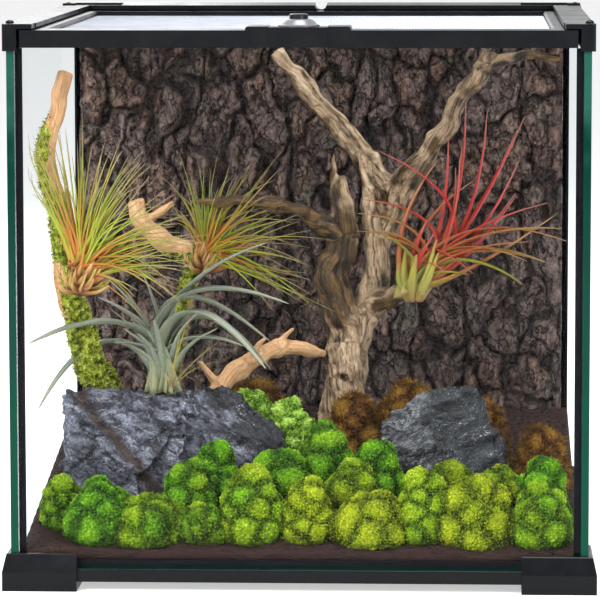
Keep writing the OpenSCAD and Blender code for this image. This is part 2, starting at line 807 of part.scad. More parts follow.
// An air plant: a swollen foot and one leaf to each tip
module air_plant(foot_at, foot_r, foot_h, lift, thick, tips) {
    union() {
        hull() {
            translate(foot_at) sphere(foot_r * 0.6, $fn = 10);
            translate(foot_at + [0, 0, foot_h * 0.45]) sphere(foot_r, $fn = 10);
            translate(foot_at + [0, 0, foot_h]) sphere(foot_r * 0.55, $fn = 10);
        }
        for (tip = tips) leaf(foot_at + [0, 0, foot_h * 0.6], tip, lift, thick);
    }
}

module plant_left() {
    color("darkseagreen") landscape()
        air_plant([-121, 76, 128], 9, 18, 16, 1.5,
            [[-142, 45, 196], [-140, 52, 216], [-129, 60, 217], [-121, 62, 216], [-108, 62, 216],
             [-92, 60, 205], [-81, 56, 192], [-60, 60, 163], [-55, 60, 147], [-73, 50, 135],
             [-100, 64, 208], [-70, 62, 176], [-95, 45, 188], [-64, 48, 142], [-136, 48, 176],
             [-86, 40, 160], [-112, 44, 206]]);
}

module plant_back() {
    color("darkseagreen") landscape()
        air_plant([-61.7, 184.1, 128], 7.5, 14, 12, 1.3,
            [[-66, 178, 182], [-55, 178, 187], [-36, 177, 192], [-46, 178, 190], [-9, 166, 155],
             [5, 158, 112], [-15, 158, 131], [-29, 160, 150], [-75, 172, 172], [-80, 168, 160],
             [-20, 160, 143], [-40, 150, 138], [-2, 156, 124]]);
}

module plant_grey() {
    color("lightslategray") landscape()
        air_plant([-80, 119, 74], 8, 12, 22, 2.6,
            [[-142, 62, 100], [-135, 70, 80], [-106, 116, 127], [-88, 124, 133], [-33, 126, 156],
             [-13, 130, 120], [-22, 116, 103], [-32, 100, 92], [-45, 96, 96], [-60, 96, 124],
             [-104, 76, 118], [-70, 132, 128], [-50, 122, 142]]);
}

module plant_red() {
    color("indianred") landscape()
        air_plant([57, 170.2, 114], 9, 18, 18, 1.8,
            [[84, 172, 223], [97, 178, 245], [110, 174, 212], [117, 168, 210], [122, 164, 187],
             [130, 160, 174], [140, 156, 164], [142, 150, 155], [129, 148, 143], [85, 146, 139],
             [105, 146, 134], [120, 142, 126], [71, 176, 176], [66, 176, 190], [51, 172, 203],
             [37, 164, 200], [44, 156, 171], [34, 154, 173], [52, 150, 139]]);
}

glass_left();
glass_right();
glass_front();
glass_rear();
glass_bottom();
corner_seals();
base_seal();
foot_front_left();
foot_front_right();
foot_rear_left();
foot_rear_right();
bottom_rail_front();
bottom_rail_rear();
bottom_rail_left();
bottom_rail_right();
cap_front_left();
cap_front_right();
corner_rear_left();
corner_rear_right();
top_rail_left();
top_rail_right();
top_rail_rear();
lid_front_bar();
lid_side_left();
lid_side_right();
lid_rear_bar();
lid_mesh();
lock_housing();
lock_bezel();
lock_button();
lock_bolt();
bark_background();
substrate();
rock_left();
rock_right();
driftwood_tree();
branch_left();
branch_back();
branch_low();
moss_front();
moss_middle();
moss_light();
moss_brown();
plant_left();
plant_back();
plant_grey();
plant_red();
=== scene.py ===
"""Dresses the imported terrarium: glass, moulded plastic, wire mesh, bark, soil, rock, wood, moss and
air plants. Lengths in the landscape are millimetres: X from the middle, Y from the front pane's
outer face, Z from the soil's front edge."""

import itertools
import json
import math

import bmesh
import bpy
import numpy as np
from mathutils import Matrix, Vector, kdtree


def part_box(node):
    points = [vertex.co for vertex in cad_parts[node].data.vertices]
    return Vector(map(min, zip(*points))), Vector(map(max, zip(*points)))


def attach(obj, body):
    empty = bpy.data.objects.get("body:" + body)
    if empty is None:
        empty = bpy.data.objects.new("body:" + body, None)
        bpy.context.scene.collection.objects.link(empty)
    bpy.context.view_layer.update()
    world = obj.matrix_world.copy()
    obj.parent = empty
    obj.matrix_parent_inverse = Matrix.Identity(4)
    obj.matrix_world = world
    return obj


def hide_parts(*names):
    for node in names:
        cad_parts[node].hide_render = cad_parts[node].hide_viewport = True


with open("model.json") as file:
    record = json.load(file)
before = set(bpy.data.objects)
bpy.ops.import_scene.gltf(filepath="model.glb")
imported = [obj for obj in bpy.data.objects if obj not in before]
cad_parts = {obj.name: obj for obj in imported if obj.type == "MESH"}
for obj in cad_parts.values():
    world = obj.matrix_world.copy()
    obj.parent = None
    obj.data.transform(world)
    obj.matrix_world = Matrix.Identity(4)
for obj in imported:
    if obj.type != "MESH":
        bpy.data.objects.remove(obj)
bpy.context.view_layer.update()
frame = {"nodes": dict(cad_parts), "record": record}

MM = 0.001
LANDSCAPE = np.array([0.0, -150.0, 20.0])
SOIL_SLOPE = 42 / 292
# The panes' thickness, and how far the side panes' inner faces are from the middle
PANE, INNER_X = 4.0, 146
# The camera's yaw, pitch and roll in degrees, its place in metres, and its focal length for a picture
# that is 600 wide
CAMERA_TURN = (-2.647, -6.401, -0.089)
CAMERA_PLACE = (0.08907, -2.05823, 0.36707)
FOCAL, PICTURE, SENSOR = 3733, 600, 36
# The floor's size and height, in metres
FLOOR_SIZE, FLOOR_Z = 30, -0.0002
# Each lamp: its place and what it points at, in metres, its width and its power
LAMPS = {
    "key_light": ((-1.0, -1.7, 1.25), (0, 0, 0.12), 0.8, 62),
    "fill_light": ((1.3, -1.6, 0.7), (0, 0, 0.12), 1.1, 20),
    "top_light": ((0.1, -0.1, 1.5), (0, 0, 0.1), 0.8, 34),
    "back_light": ((-0.6, 1.7, 1.0), (0, 0, 0.15), 1.0, 9),
}


def rise(y):
    """Height of the soil above its front edge."""
    return SOIL_SLOPE * (y - PANE)


def over_soil(points):
    """Height of the points above the soil."""
    return points[:, 2] - rise(points[:, 1])


def in_scene(name, data):
    """An object of this data, linked to the scene."""
    made = bpy.data.objects.new(name, data)
    bpy.context.scene.collection.objects.link(made)
    return made


def mesh_of(shape, mesh):
    """Puts the shape into the mesh and lets go of it."""
    shape.to_mesh(mesh)
    shape.free()
    return mesh


# Camera, light and floor


def make_camera():
    yaw, pitch, roll = (math.radians(a) for a in CAMERA_TURN)
    ahead = Vector((math.sin(yaw) * math.cos(pitch), math.cos(yaw) * math.cos(pitch), math.sin(pitch)))
    right = Vector((math.cos(yaw), -math.sin(yaw), 0))
    up = right.cross(ahead)
    turned = right * math.cos(roll) + up * math.sin(roll)
    up = turned.cross(ahead)
    data = bpy.data.cameras.new("camera")
    data.sensor_width = SENSOR
    data.lens = SENSOR * FOCAL / PICTURE
    data.clip_start, data.clip_end = 0.05, 200
    camera = in_scene("camera", data)
    place = Matrix((turned, up, -ahead)).transposed().to_4x4()
    place.translation = Vector(CAMERA_PLACE)
    camera.matrix_world = place
    bpy.context.scene.camera = camera


make_camera()
bpy.context.scene.view_settings.view_transform = "Standard"


# Node trees


class Wire:
    """What a node gives out. Arithmetic on it adds the Math nodes."""

    def __init__(self, nodes, socket):
        self.nodes, self.socket = nodes, socket

    def work(self, operation, *values, **settings):
        sockets = dict(enumerate(values))
        return self.nodes.wire("ShaderNodeMath", {"operation": operation, **settings}, sockets)

    def __add__(self, other):
        return self.work("ADD", self, other)

    def __sub__(self, other):
        return self.work("SUBTRACT", self, other)

    def __rsub__(self, other):
        return self.work("SUBTRACT", other, self)

    def __mul__(self, other):
        return self.work("MULTIPLY", self, other)

    def __truediv__(self, other):
        return self.work("DIVIDE", self, other)

    def most(self, other):
        return self.work("MAXIMUM", self, other)

    def above(self, other):
        return self.work("GREATER_THAN", self, other)

    def size(self):
        return self.work("ABSOLUTE", self)

    def held(self):
        """The value kept between 0 and 1."""
        return self.work("ADD", self, 0.0, use_clamp=True)

    __radd__ = __add__
    __rmul__ = __mul__


class Nodes:
    """A node tree and the one way that nodes get into it."""

    def __init__(self, tree):
        self.tree = tree
        tree.nodes.clear()

    def node(self, kind, settings=None, sockets=None):
        made = self.tree.nodes.new(kind)
        for name, value in (settings or {}).items():
            if name == "stops":
                ramp = made.color_ramp
                while len(ramp.elements) < len(value):
                    ramp.elements.new(1)
                for element, (position, colour) in zip(ramp.elements, value):
                    element.position, element.color = position, colour
            else:
                setattr(made, name, value)
        for key, value in (sockets or {}).items():
            if isinstance(value, Wire):
                self.tree.links.new(value.socket, made.inputs[key])
            elif isinstance(value, (list, tuple)) and value and isinstance(value[0], Wire):
                for one in reversed(value):
                    self.tree.links.new(one.socket, made.inputs[key])
            else:
                made.inputs[key].default_value = value
        return made

    def wire(self, kind, settings=None, sockets=None, output=0):
        return Wire(self, self.node(kind, settings, sockets).outputs[output])


def screen(colour):
    """Three numbers from 0 to 255, as on a screen, become a shader's colour. All else stays."""
    if not isinstance(colour, tuple) or len(colour) != 3:
        return colour
    parts = (c / 255 for c in colour)
    return tuple((c / 12.92 if c <= 0.04045 else ((c + 0.055) / 1.055) ** 2.4) for c in parts) + (1.0,)


class Finish(Nodes):
    """A material."""

    def __init__(self, name):
        self.material = bpy.data.materials.new(name)
        self.material.use_nodes = True
        super().__init__(self.material.node_tree)

    def place(self, stretch=(1, 1, 1)):
        """Object coordinates in millimetres, divided by the stretch."""
        here = self.wire("ShaderNodeTexCoord", output="Object")
        return self.wire("ShaderNodeVectorMath", {"operation": "MULTIPLY"},
                         {0: here, 1: tuple(1000 / s for s in stretch)})

    def attribute(self, name, output="Fac"):
        return self.wire("ShaderNodeAttribute", {"attribute_name": name}, output=output)

    def noise(self, size, detail=3.0, stretch=(1, 1, 1), source=None, distortion=0.0, roughness=0.55):
        """Noise from 0 to 1 with patches about that many millimetres across."""
        return self.wire("ShaderNodeTexNoise", None,
                         {"Vector": source or self.place(stretch), "Scale": 1 / size, "Detail": detail,
                          "Roughness": roughness, "Distortion": distortion})

    def cracks(self, size, stretch=(1, 1, 1), source=None, output="Distance", feature="F1"):
        return self.wire("ShaderNodeTexVoronoi", {"feature": feature},
                         {"Vector": source or self.place(stretch), "Scale": 1 / size}, output)

    def between(self, value, low, high):
        """0 below low, 1 above high."""
        return self.wire("ShaderNodeMapRange", {"clamp": True},
                         {0: value, 1: low, 2: high, 3: 0.0, 4: 1.0})

    def ramp(self, value, *stops):
        stops = [(place, screen(colour)) for place, colour in stops]
        return self.wire("ShaderNodeValToRGB", {"stops": stops}, {0: value})

    def mix(self, share, first, second, blend="MIX"):
        return self.wire("ShaderNodeMix", {"data_type": "RGBA", "blend_type": blend},
                         {0: share, 6: screen(first), 7: screen(second)}, 2)

    def bump(self, height, depth, strength=1.0):
        """Relief that many millimetres deep."""
        return self.wire("ShaderNodeBump", None,
                         {"Height": height, "Distance": depth * MM, "Strength": strength})

    def skin(self, colour, roughness, normal=None, shine=None, **others):
        sockets = {"Base Color": colour, "Roughness": roughness, **others}
        if normal:
            sockets["Normal"] = normal
        if shine is not None:
            sockets["Specular IOR Level"] = shine
        return self.wire("ShaderNodeBsdfPrincipled", None, sockets)

    def done(self, shader):
        self.node("ShaderNodeOutputMaterial", None, {0: shader})
        return self.material

    def dressed(self, colour, roughness, normal=None, shine=None, **others):
        return self.done(self.skin(colour, roughness, normal, shine, **others))


def seen_directly(nodes):
    """1 for rays that show a thing itself, in a mirror or through glass, and 0 for the light it gives."""
    path = nodes.node("ShaderNodeLightPath")
    rays = [Wire(nodes, path.outputs[n]) for n in ("Is Camera Ray", "Is Glossy Ray", "Is Transmission Ray")]
    return rays[0].most(rays[1]).most(rays[2])


def floor_and_light():
    paper = Finish("floor_paper")
    glow = paper.mix(seen_directly(paper), (0, 0, 0, 1), (1, 1, 1, 1))
    fibre = paper.noise(400, 2)
    shade = paper.ramp(fibre, (0.3, (0.80, 0.80, 0.81, 1)), (0.7, (0.84, 0.84, 0.84, 1)))
    cover = paper.done(paper.skin(shade, 0.9, **{"Emission Color": glow, "Emission Strength": 0.5}))
    shape = bmesh.new()
    bmesh.ops.create_grid(shape, x_segments=8, y_segments=8, size=FLOOR_SIZE)
    floor = in_scene("floor", mesh_of(shape, bpy.data.meshes.new("floor")))
    floor.data.materials.append(cover)
    floor.location.z = FLOOR_Z

    world = bpy.data.worlds.new("studio")
    bpy.context.scene.world = world
    world.use_nodes = True
    sky = Nodes(world.node_tree)
    dim = sky.wire("ShaderNodeBackground", None, {"Color": (1, 1, 1, 1), "Strength": 0.4})
    white = sky.wire("ShaderNodeBackground", None, {"Color": (1, 1, 1, 1), "Strength": 1.0})
    both = sky.wire("ShaderNodeMixShader", None, {0: seen_directly(sky), 1: dim, 2: white})
    sky.node("ShaderNodeOutputWorld", None, {0: both})

    for name, (spot, aim, width, power) in LAMPS.items():
        data = bpy.data.lights.new(name, "AREA")
        data.size, data.energy = width, power
        lamp = in_scene(name, data)
        lamp.location = spot
        lamp.rotation_mode = "QUATERNION"
        lamp.rotation_quaternion = (Vector(aim) - Vector(spot)).to_track_quat("-Z", "Y")


floor_and_light()


# Numbers that vary from place to place

DICE = np.random.default_rng(11)
SLANTS = DICE.normal(size=(256, 3))
SLANTS /= np.linalg.norm(SLANTS, axis=1)[:, None]
SCATTER = DICE.random((256, 4))


def mixed_up(cell, seed):
    """A number from 0 to 255 for each whole-numbered cell."""
    key = cell[:, 0] * 73856093 ^ cell[:, 1] * 19349663 ^ cell[:, 2] * 83492791 ^ seed * 2654435761
    key = ((key ^ (key >> 15)) * 2246822519) & 0xFFFFFFFF
    return (key ^ (key >> 13)) & 255


def swell(points, size, seed=0):
    """Smooth ups and downs from -1 to 1, about size across."""
    p = points / np.asarray(size, float) + 0.37 * seed
    cell = np.floor(p).astype(np.int64)
    part = p - cell
    ease = part ** 3 * (part * (part * 6 - 15) + 10)
    total = np.zeros(len(p))
    for corner in itertools.product((0, 1), repeat=3):
        pull = (SLANTS[mixed_up(cell + corner, seed)] * (part - corner)).sum(1)
        total += pull * np.prod(np.where(corner, ease, 1 - ease), axis=1)
    return total * 1.7


def rough(points, size, layers=4, seed=0):
    """Swells of that size with finer ones on them."""
    size = np.asarray(size, float)
    return sum(swell(points, size / 2 ** k, seed + k) / 2 ** k for k in range(layers))


def patches(points, size, seed=0):
    """Irregular cells: the distance to the nearest and to the next middle, a number for the cell, and
    the height of a plane through its middle that leans its own way."""
    p = points / np.asarray(size, float)
    home = np.floor(p).astype(np.int64)
    near, next_near, tone, lean = (np.full(len(p), v) for v in (9.0, 9.0, 0.0, 0.0))
    for step in itertools.product((-1, 0, 1), repeat=3):
        key = mixed_up(home + step, seed)
        off = home + step + SCATTER[key, :3] - p
        away = np.linalg.norm(off, axis=1)
        closer = away < near
        next_near = np.where(closer, near, np.minimum(next_near, away))
        tone = np.where(closer, SCATTER[key, 3], tone)
        lean = np.where(closer, (off * SLANTS[key]).sum(1), lean)
        near = np.where(closer, away, near)
    return near, next_near, tone, lean


def ease_in(value, low, high):
    t = np.clip((value - low) / (high - low), 0, 1)
    return t * t * (3 - 2 * t)


def raised(cells, seam):
    """What patches gives, as a height that drops to 0 in the seams, the tone and the lean."""
    near, after, tone, lean = cells
    return ease_in(after - near, 0.0, seam), tone, lean


# Meshes


def new_piece(name, points, faces, finish, values=None):
    """A piece from points in millimetres. values are numbers for each point that its finish reads."""
    points = np.asarray(points, float).reshape(-1, 3) + LANDSCAPE
    mesh = bpy.data.meshes.new(name)
    mesh.from_pydata((points * MM).tolist(), [], faces)
    for key, value in (values or {}).items():
        keep_values(mesh, key, value)
    mesh.materials.append(finish)
    mesh.polygons.foreach_set("use_smooth", [True] * len(mesh.polygons))
    mesh.update()
    return in_scene(name, mesh)


def keep_values(mesh, key, value):
    value = np.asarray(value, np.float32)
    vector = value.ndim == 2
    made = mesh.attributes.new(key, "FLOAT_VECTOR" if vector else "FLOAT", "POINT")
    made.data.foreach_set("vector" if vector else "value", value.ravel())


def settle(piece):
    """Makes the result of the piece's modifiers its own mesh."""
    bpy.context.view_layer.update()
    graph = bpy.context.evaluated_depsgraph_get()
    mesh = bpy.data.meshes.new_from_object(piece.evaluated_get(graph))
    piece.modifiers.clear()
    piece.data = mesh
    return piece


def fuse(piece, grain, smoothing=2):
    """Joins what overlaps in the piece into one skin of even squares, grain millimetres wide."""
    joined = piece.modifiers.new("fuse", "REMESH")
    joined.mode, joined.voxel_size, joined.use_smooth_shade = "VOXEL", grain * MM, True
    if smoothing:
        soft = piece.modifiers.new("soften", "SMOOTH")
        soft.factor, soft.iterations = 0.5, smoothing
    return settle(piece)


def recast(name, node, finish, grain):
    """A finely divided copy of a CAD node, to be carved."""
    mesh = frame["nodes"][node].data.copy()
    mesh.materials.clear()
    mesh.materials.append(finish)
    shape = bmesh.new()
    shape.from_mesh(mesh)
    bmesh.ops.remove_doubles(shape, verts=shape.verts, dist=1e-6)
    return fuse(in_scene(name, mesh_of(shape, mesh)), grain, 0)


def points_and_normals(piece):
    """The piece's points in landscape millimetres, and their normals."""
    mesh = piece.data
    points, normals = np.empty((2, len(mesh.vertices) * 3), np.float32)
    mesh.vertices.foreach_get("co", points)
    mesh.vertex_normals.foreach_get("vector", normals)
    return points.reshape(-1, 3).astype(float) / MM - LANDSCAPE, normals.reshape(-1, 3).astype(float)


def put_points(piece, points):
    piece.data.vertices.foreach_set("co", ((points + LANDSCAPE) * MM).astype(np.float32).ravel())
    piece.data.update()


def outwards(piece):
    shape = bmesh.new()
    shape.from_mesh(piece.data)
    bmesh.ops.recalc_face_normals(shape, faces=shape.faces)
    mesh_of(shape, piece.data)
    return piece


def tanked(piece, *nodes, slot):
    """The piece stands for these nodes of the tank."""
    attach(piece, "tank")
    if nodes:
        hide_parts(*nodes)
    return piece


def smooth_line(points, step):
    """A smooth curve through the points, with further columns such as a radius carried along."""
    points = np.asarray(points, float)
    padded = np.vstack([2 * points[0] - points[1], points, 2 * points[-1] - points[-2]])
    line = []
    for i in range(1, len(padded) - 2):
        a, b, c, d = padded[i - 1:i + 3]
        count = max(2, int(np.linalg.norm((c - b)[:3]) / step))
        for t in np.arange(count) / count:
            line.append(0.5 * (2 * b + (c - a) * t + (2 * a - 5 * b + 4 * c - d) * t * t
                               + (3 * b - a - 3 * c + d) * t ** 3))
    return np.array(line + [points[-1]])


def frames_along(line, side=None):
    """Directions along the line, and across it without needless twist."""
    ahead = np.gradient(line, axis=0)
    ahead /= np.linalg.norm(ahead, axis=1)[:, None]
    across = np.empty_like(ahead)
    now = np.array(side if side is not None else (1.0, 0.1, 0.0), float)
    for i, a in enumerate(ahead):
        now = now - a * (now @ a)
        if np.linalg.norm(now) < 1e-3:
            now = np.cross(a, (0.0, 1.0, 0.0))
        now /= np.linalg.norm(now)
        across[i] = now
    return ahead, across, np.cross(ahead, across)


def tube(line, across, other, outline):
    """A closed skin round the line. outline is k points round each place, along across and other."""
    n, k = outline.shape[:2]
    rings = line[:, None] + outline[..., :1] * across[:, None] + outline[..., 1:] * other[:, None]
    points = np.vstack([rings.reshape(-1, 3), line[:1], line[-1:]])
    j = np.arange(k)
    faces = []
    for i in range(n - 1):
        a, b = i * k + j, i * k + (j + 1) % k
        faces += np.stack([a, b, b + k, a + k], 1).tolist()
    faces += np.stack([(j + 1) % k, j, np.full(k, n * k)], 1).tolist()
    faces += np.stack([(n - 1) * k + j, (n - 1) * k + (j + 1) % k, np.full(k, n * k + 1)], 1).tolist()
    return points, faces


class Heap:
    """Gathers parts into the points, faces and values of one piece."""

    def __init__(self):
        self.points, self.faces, self.values, self.count = [], [], {}, 0

    def add(self, points, faces, **values):
        self.points.append(points)
        self.faces += [[i + self.count for i in face] for face in faces]
        self.count += len(points)
        for key, value in values.items():
            self.values.setdefault(key, []).append(np.broadcast_to(value, len(points)))

    def piece(self, name, finish):
        values = {key: np.concatenate(value) for key, value in self.values.items()}
        return outwards(new_piece(name, np.vstack(self.points), self.faces, finish, values))


# Finishes of the tank


def moulded(name, colour, roughness, grain=0.35, shine=0.4):
    """Moulded plastic: a faint grain, a little dust and wear that dull it unevenly."""
    f = Finish(name)
    colour = screen(colour)
    dust = f.between(f.noise(22, 4), 0.45, 0.75)
    fine = f.noise(grain, 2)
    tone = f.mix(dust * 0.35, colour, tuple(c * 1.6 + 0.002 for c in colour[:3]) + (1,))
    dull = dust * 0.12 + fine * 0.08 + roughness
    relief = f.bump(fine + f.noise(6, 2) * 0.6, 0.03, 0.5)
    return f.dressed(tone, dull, relief, shine)


# Colours of the panes' ends from the foot to the top. The teal is the glass's own colour; in the side
# panes' ends the darker middle and lighter top are a painted reflection.
LIT_TEAL_ENDS = [(0.0, (0, 58, 43)), (0.45, (0, 50, 39)), (0.8, (0, 42, 34)), (1.0, (30, 74, 62))]
DEEP_ENDS = [(0.0, (0, 42, 32)), (0.5, (0, 36, 30)), (1.0, (2, 44, 38))]
BLACK_ENDS = [(0.0, (4, 5, 8)), (1.0, (9, 12, 17))]


def glass(name, axis, tint, mirror, ends, open_ends=True):
    """Clear panes with coloured ends. axis is the direction through the pane. Open ends are clear
    where they are seen from within the pane."""
    f = Finish(name)
    normal = f.wire("ShaderNodeNewGeometry", output="Normal")
    parts = f.node("ShaderNodeSeparateXYZ", None, {0: normal})
    face = Wire(f, parts.outputs["XYZ".index(axis)]).size().above(0.5)
    height = f.node("ShaderNodeSeparateXYZ", None, {0: f.place()})
    # The ends' colour shifts with height and noise: along the side panes' edges this is a painted
    # reflection.
    up = f.between(Wire(f, height.outputs[2]) + (f.noise(26, 3) - 0.5) * 160, 10.0, 290.0)
    green = f.ramp(up, *ends)
    colour = f.mix(face, green, (0.96, 0.98, 1.0, 1))
    smear = f.between(f.noise(35, 4), 0.4, 0.8)
    skin = f.skin(colour, smear * 0.03 + 0.02, Metallic=face, shine=0.08)
    clear = f.wire("ShaderNodeBsdfTransparent", None, {0: tint})
    bend = f.wire("ShaderNodeFresnel", None, {"IOR": 1.45})
    passed = face.most(f.wire("ShaderNodeNewGeometry", output="Backfacing")) if open_ends else face
    share = 1 - passed * (1 - bend * mirror)
    return f.done(f.wire("ShaderNodeMixShader", None, {0: share, 1: clear, 2: skin}))


def silicone():
    f = Finish("black_silicone")
    wave = f.noise(7, 2, (1, 1, 4))
    tone = f.ramp(wave, (0.3, (3, 4, 7)), (0.7, (9, 12, 18)))
    return f.dressed(tone, wave * 0.15 + 0.35, f.bump(wave, 0.3, 0.6), shine=0.07)


def wire_coat():
    f = Finish("coated_wire")
    patch = f.noise(14, 3)
    tone = f.ramp(patch, (0.3, (146, 152, 163)), (0.7, (180, 184, 193)))
    worn = f.between(patch, 0.2, 1) * 0.3
    return f.dressed(tone, patch * 0.2 + 0.32, f.bump(f.noise(0.3), 0.02), Metallic=worn)


def turned_steel():
    f = Finish("turned_steel")
    rings = f.noise(1.2, 3, (8, 8, 0.25))
    tone = f.ramp(rings, (0.3, (128, 130, 134)), (0.7, (190, 192, 196)))
    return f.dressed(tone, rings * 0.2 + 0.22, f.bump(rings, 0.03), Metallic=f.between(rings, -1, 0))


# Finishes of the landscape


def bark_finish():
    f = Finish("cork_bark")
    top, tone = f.attribute("top"), f.attribute("tone")
    bend = f.wire("ShaderNodeTexNoise", None, {"Vector": f.place(), "Scale": 0.25, "Detail": 5.0}, "Color")
    bent = f.wire("ShaderNodeVectorMath", {"operation": "MULTIPLY_ADD"},
                  {0: bend, 1: (7, 2, 9), 2: f.place((1, 1, 1.5))})
    wide = f.between(f.cracks(8.5, source=bent, feature="DISTANCE_TO_EDGE"), 0.0, 0.07)
    narrow = f.between(f.cracks(3.4, source=bent, feature="DISTANCE_TO_EDGE"), 0.0, 0.10)
    coarse = f.noise(5, 6, (1, 1, 2.2), distortion=0.8, roughness=0.7)
    fine = f.noise(0.9, 5, (1, 1, 1.8), roughness=0.8)
    # top lifts the level on the crowns of raised plates: a painted highlight.
    level = (coarse * 0.75 + fine * 1.1 + top * 0.35 - 0.74).held()
    plain = f.ramp(level, (0.0, (24, 18, 19)), (0.28, (78, 65, 62)), (0.55, (124, 106, 100)),
                   (0.8, (168, 148, 138)), (1.0, (214, 194, 178)))
    warm = f.ramp(level, (0.0, (30, 20, 17)), (0.3, (86, 64, 56)), (0.6, (136, 110, 98)),
                  (1.0, (212, 182, 158)))
    green = f.ramp(level, (0.0, (22, 24, 20)), (0.4, (86, 86, 74)), (1.0, (166, 162, 142)))
    tinted = f.mix(f.between(tone + f.noise(12, 4) * 0.9, 0.85, 1.2), plain, warm)
    tinted = f.mix(f.between(f.noise(24, 4, distortion=1.0), 0.55, 0.7) * 0.7, tinted, green)
    # The cracks, and the narrow ones where the bark lies low, are painted near black: painted shade in
    # them.
    cut = (1 - wide) * 0.85 + (1 - narrow) * f.between(coarse, 0.6, 0.35) * 0.7
    shaded = f.mix(cut.held(), tinted, (20, 14, 14))
    relief = f.bump(fine * 0.7 + wide * 1.2 + narrow * 0.6 + coarse, 1.3, 1.0)
    return f.dressed(shaded, fine * 0.2 + 0.6, relief, shine=0.3)


def soil_finish():
    f = Finish("fibre_soil")
    lumps, fine = f.noise(5, 5, roughness=0.65), f.noise(0.9, 3, (1, 1, 0.6))
    level = (lumps * 0.5 + fine * 0.65 - 0.08).held()
    tone = f.ramp(level, (0.2, (9, 5, 5)), (0.45, (28, 15, 13)), (0.64, (56, 33, 27)),
                  (0.9, (122, 88, 70)))
    return f.dressed(tone, fine * 0.2 + 0.75, f.bump(level, 1.6, 1.0), shine=0.2)


def stone_finish(name, low, middle, high, fleck, vein, dark_side):
    """lie is a place in the stone's layers, and shade runs from its pale to its dark faces, a painted
    shade.
    hollow darkens the seams and the foot, also a painted shade.
    """
    f = Finish(name)
    hollow, streak, shade = f.attribute("hollow"), f.attribute("vein"), f.attribute("shade")
    lie = f.attribute("lie", "Vector")
    layers = f.noise(2.4, 6, source=lie, distortion=0.5, roughness=0.7)
    grain = f.noise(0.75, 3, (1.3, 1, 1), roughness=0.8)
    broad = f.noise(15, 4)
    # The seams and the foot near the soil are painted darker here: painted shade.
    level = (layers * 0.9 + grain * 0.7 + broad * 0.6 - 0.68 - hollow * 0.5).held()
    plain = f.ramp(level, (0.08, low), (0.36, middle), (0.62, high), (0.9, fleck))
    dark = f.ramp(level, (0.1, (10, 11, 14)), (0.6, dark_side), (1.1, high))
    sided = f.mix(f.between(shade + (layers - 0.5) * 0.6, 0.35, 0.65), plain, dark)
    spots = f.between(grain + layers * 0.5, 0.85, 0.93) * f.between(broad, 0.35, 0.6)
    spotted = f.mix(spots * 0.85, sided, fleck)
    # Thin cracks are painted near black: painted shade in them.
    split = f.between((f.noise(6, 4, source=lie, roughness=0.6) - 0.5).size(), 0.0, 0.022)
    crack_shaded = f.mix((1 - split) * 0.8, spotted, (14, 14, 17))
    tinted = f.mix(f.between(streak + (layers - 0.5) * 1.3, 0.4, 0.95), crack_shaded, vein)
    relief = f.bump(layers + grain * 0.5 + split * 0.5, 1.0, 1.0)
    return f.dressed(tinted, grain * 0.3 + 0.42, relief, shine=0.35)


def wood_finish(name, pale, dark, roughened):
    """Driftwood. shade runs from pale to dark limbs, and is raised as a painted shade on faces turned down
    and to the left. grain is a place in the straightened limb. Grooves and splits are painted darker,
    also as shade.
    """
    f = Finish(name)
    shade, groove = f.attribute("shade"), f.attribute("groove")
    lie = f.attribute("grain", "Vector")
    lines = f.noise(0.9, 5, source=lie, distortion=0.5, roughness=0.7)
    broad = f.noise(3.6, 5, source=lie, roughness=0.65)
    blotch = f.noise(11, 4, distortion=0.6, roughness=0.55)
    split = f.between((f.noise(2.6, 3, source=lie) - 0.5).size(), 0.0, 0.035)
    # Grooves are painted darker: painted shade.
    level = (lines * 0.8 + broad * 0.5 + blotch * 0.6 - groove * 0.5 - 0.41).held()
    pale_wood = f.ramp(level, *pale)
    dark_wood = f.ramp(level, *dark)
    tinted = f.mix(f.between(shade + (blotch - 0.5) * 1.3, 0.3, 0.7), pale_wood, dark_wood)
    # Splits are painted dark too: painted shade.
    shaded = f.mix((1 - split) * 0.4, tinted, dark[0][1])
    relief = f.bump(lines + split * 0.5 + broad * 0.5, roughened, 1.0)
    return f.dressed(shaded, lines * 0.2 + 0.5, relief, shine=0.3)


def moss_finish(name, shades, other=None):
    """shades go from the pits to the tips. speck is a number for each tuft and 0 on the skin beneath, which
    is painted darker as shade between the tufts. depth tells how far down between the lobes it grows, and
    deeper is painted darker as shade. hue carries a cushion over to the other shades."""
    f = Finish(name)
    speck, depth = f.attribute("speck"), f.attribute("depth")
    patch = f.noise(11, 3)
    curl = f.noise(1.5, 4, roughness=0.8)
    level = (speck * 0.25 + patch * 0.3 + curl * 1.35 - depth * 0.46 - 0.34).held()

    def colours(row):
        return f.ramp(level, *zip((0.02, 0.3, 0.6, 0.92), row))

    tone = colours(shades)
    if other:
        hue = f.attribute("hue") + (f.noise(24, 3) - 0.5) * 0.6
        tone = f.mix(f.between(hue, 0.25, 0.8), tone, colours(other))
    return f.dressed(tone, speck * 0.15 + 0.6, f.bump(curl, 0.8, 1.0), shine=0.1)


def leaf_finish(name, usual, other, scales=0.0):
    """along runs from a leaf's foot to its tip. tone is a number for each leaf, which carries it from
    the usual colours over to the other ones."""
    f = Finish(name)
    along, tone = f.attribute("along"), f.attribute("tone")
    streak = f.noise(1.3, 3, (1, 1, 5))
    run = along + (streak - 0.5) * 0.14
    colour = f.mix(f.between(tone, 0.35, 0.75), f.ramp(run, *usual), f.ramp(run, *other))
    dusty = f.between(f.noise(0.5, 2), 0.42, 0.62) * scales
    colour = f.mix(dusty, colour, (205, 212, 208))
    shaded = f.mix((streak * 0.5).held(), colour, (0.35, 0.32, 0.25, 1), "MULTIPLY")
    return f.dressed(shaded, streak * 0.2 + 0.42, f.bump(streak, 0.25, 0.6), shine=0.35)


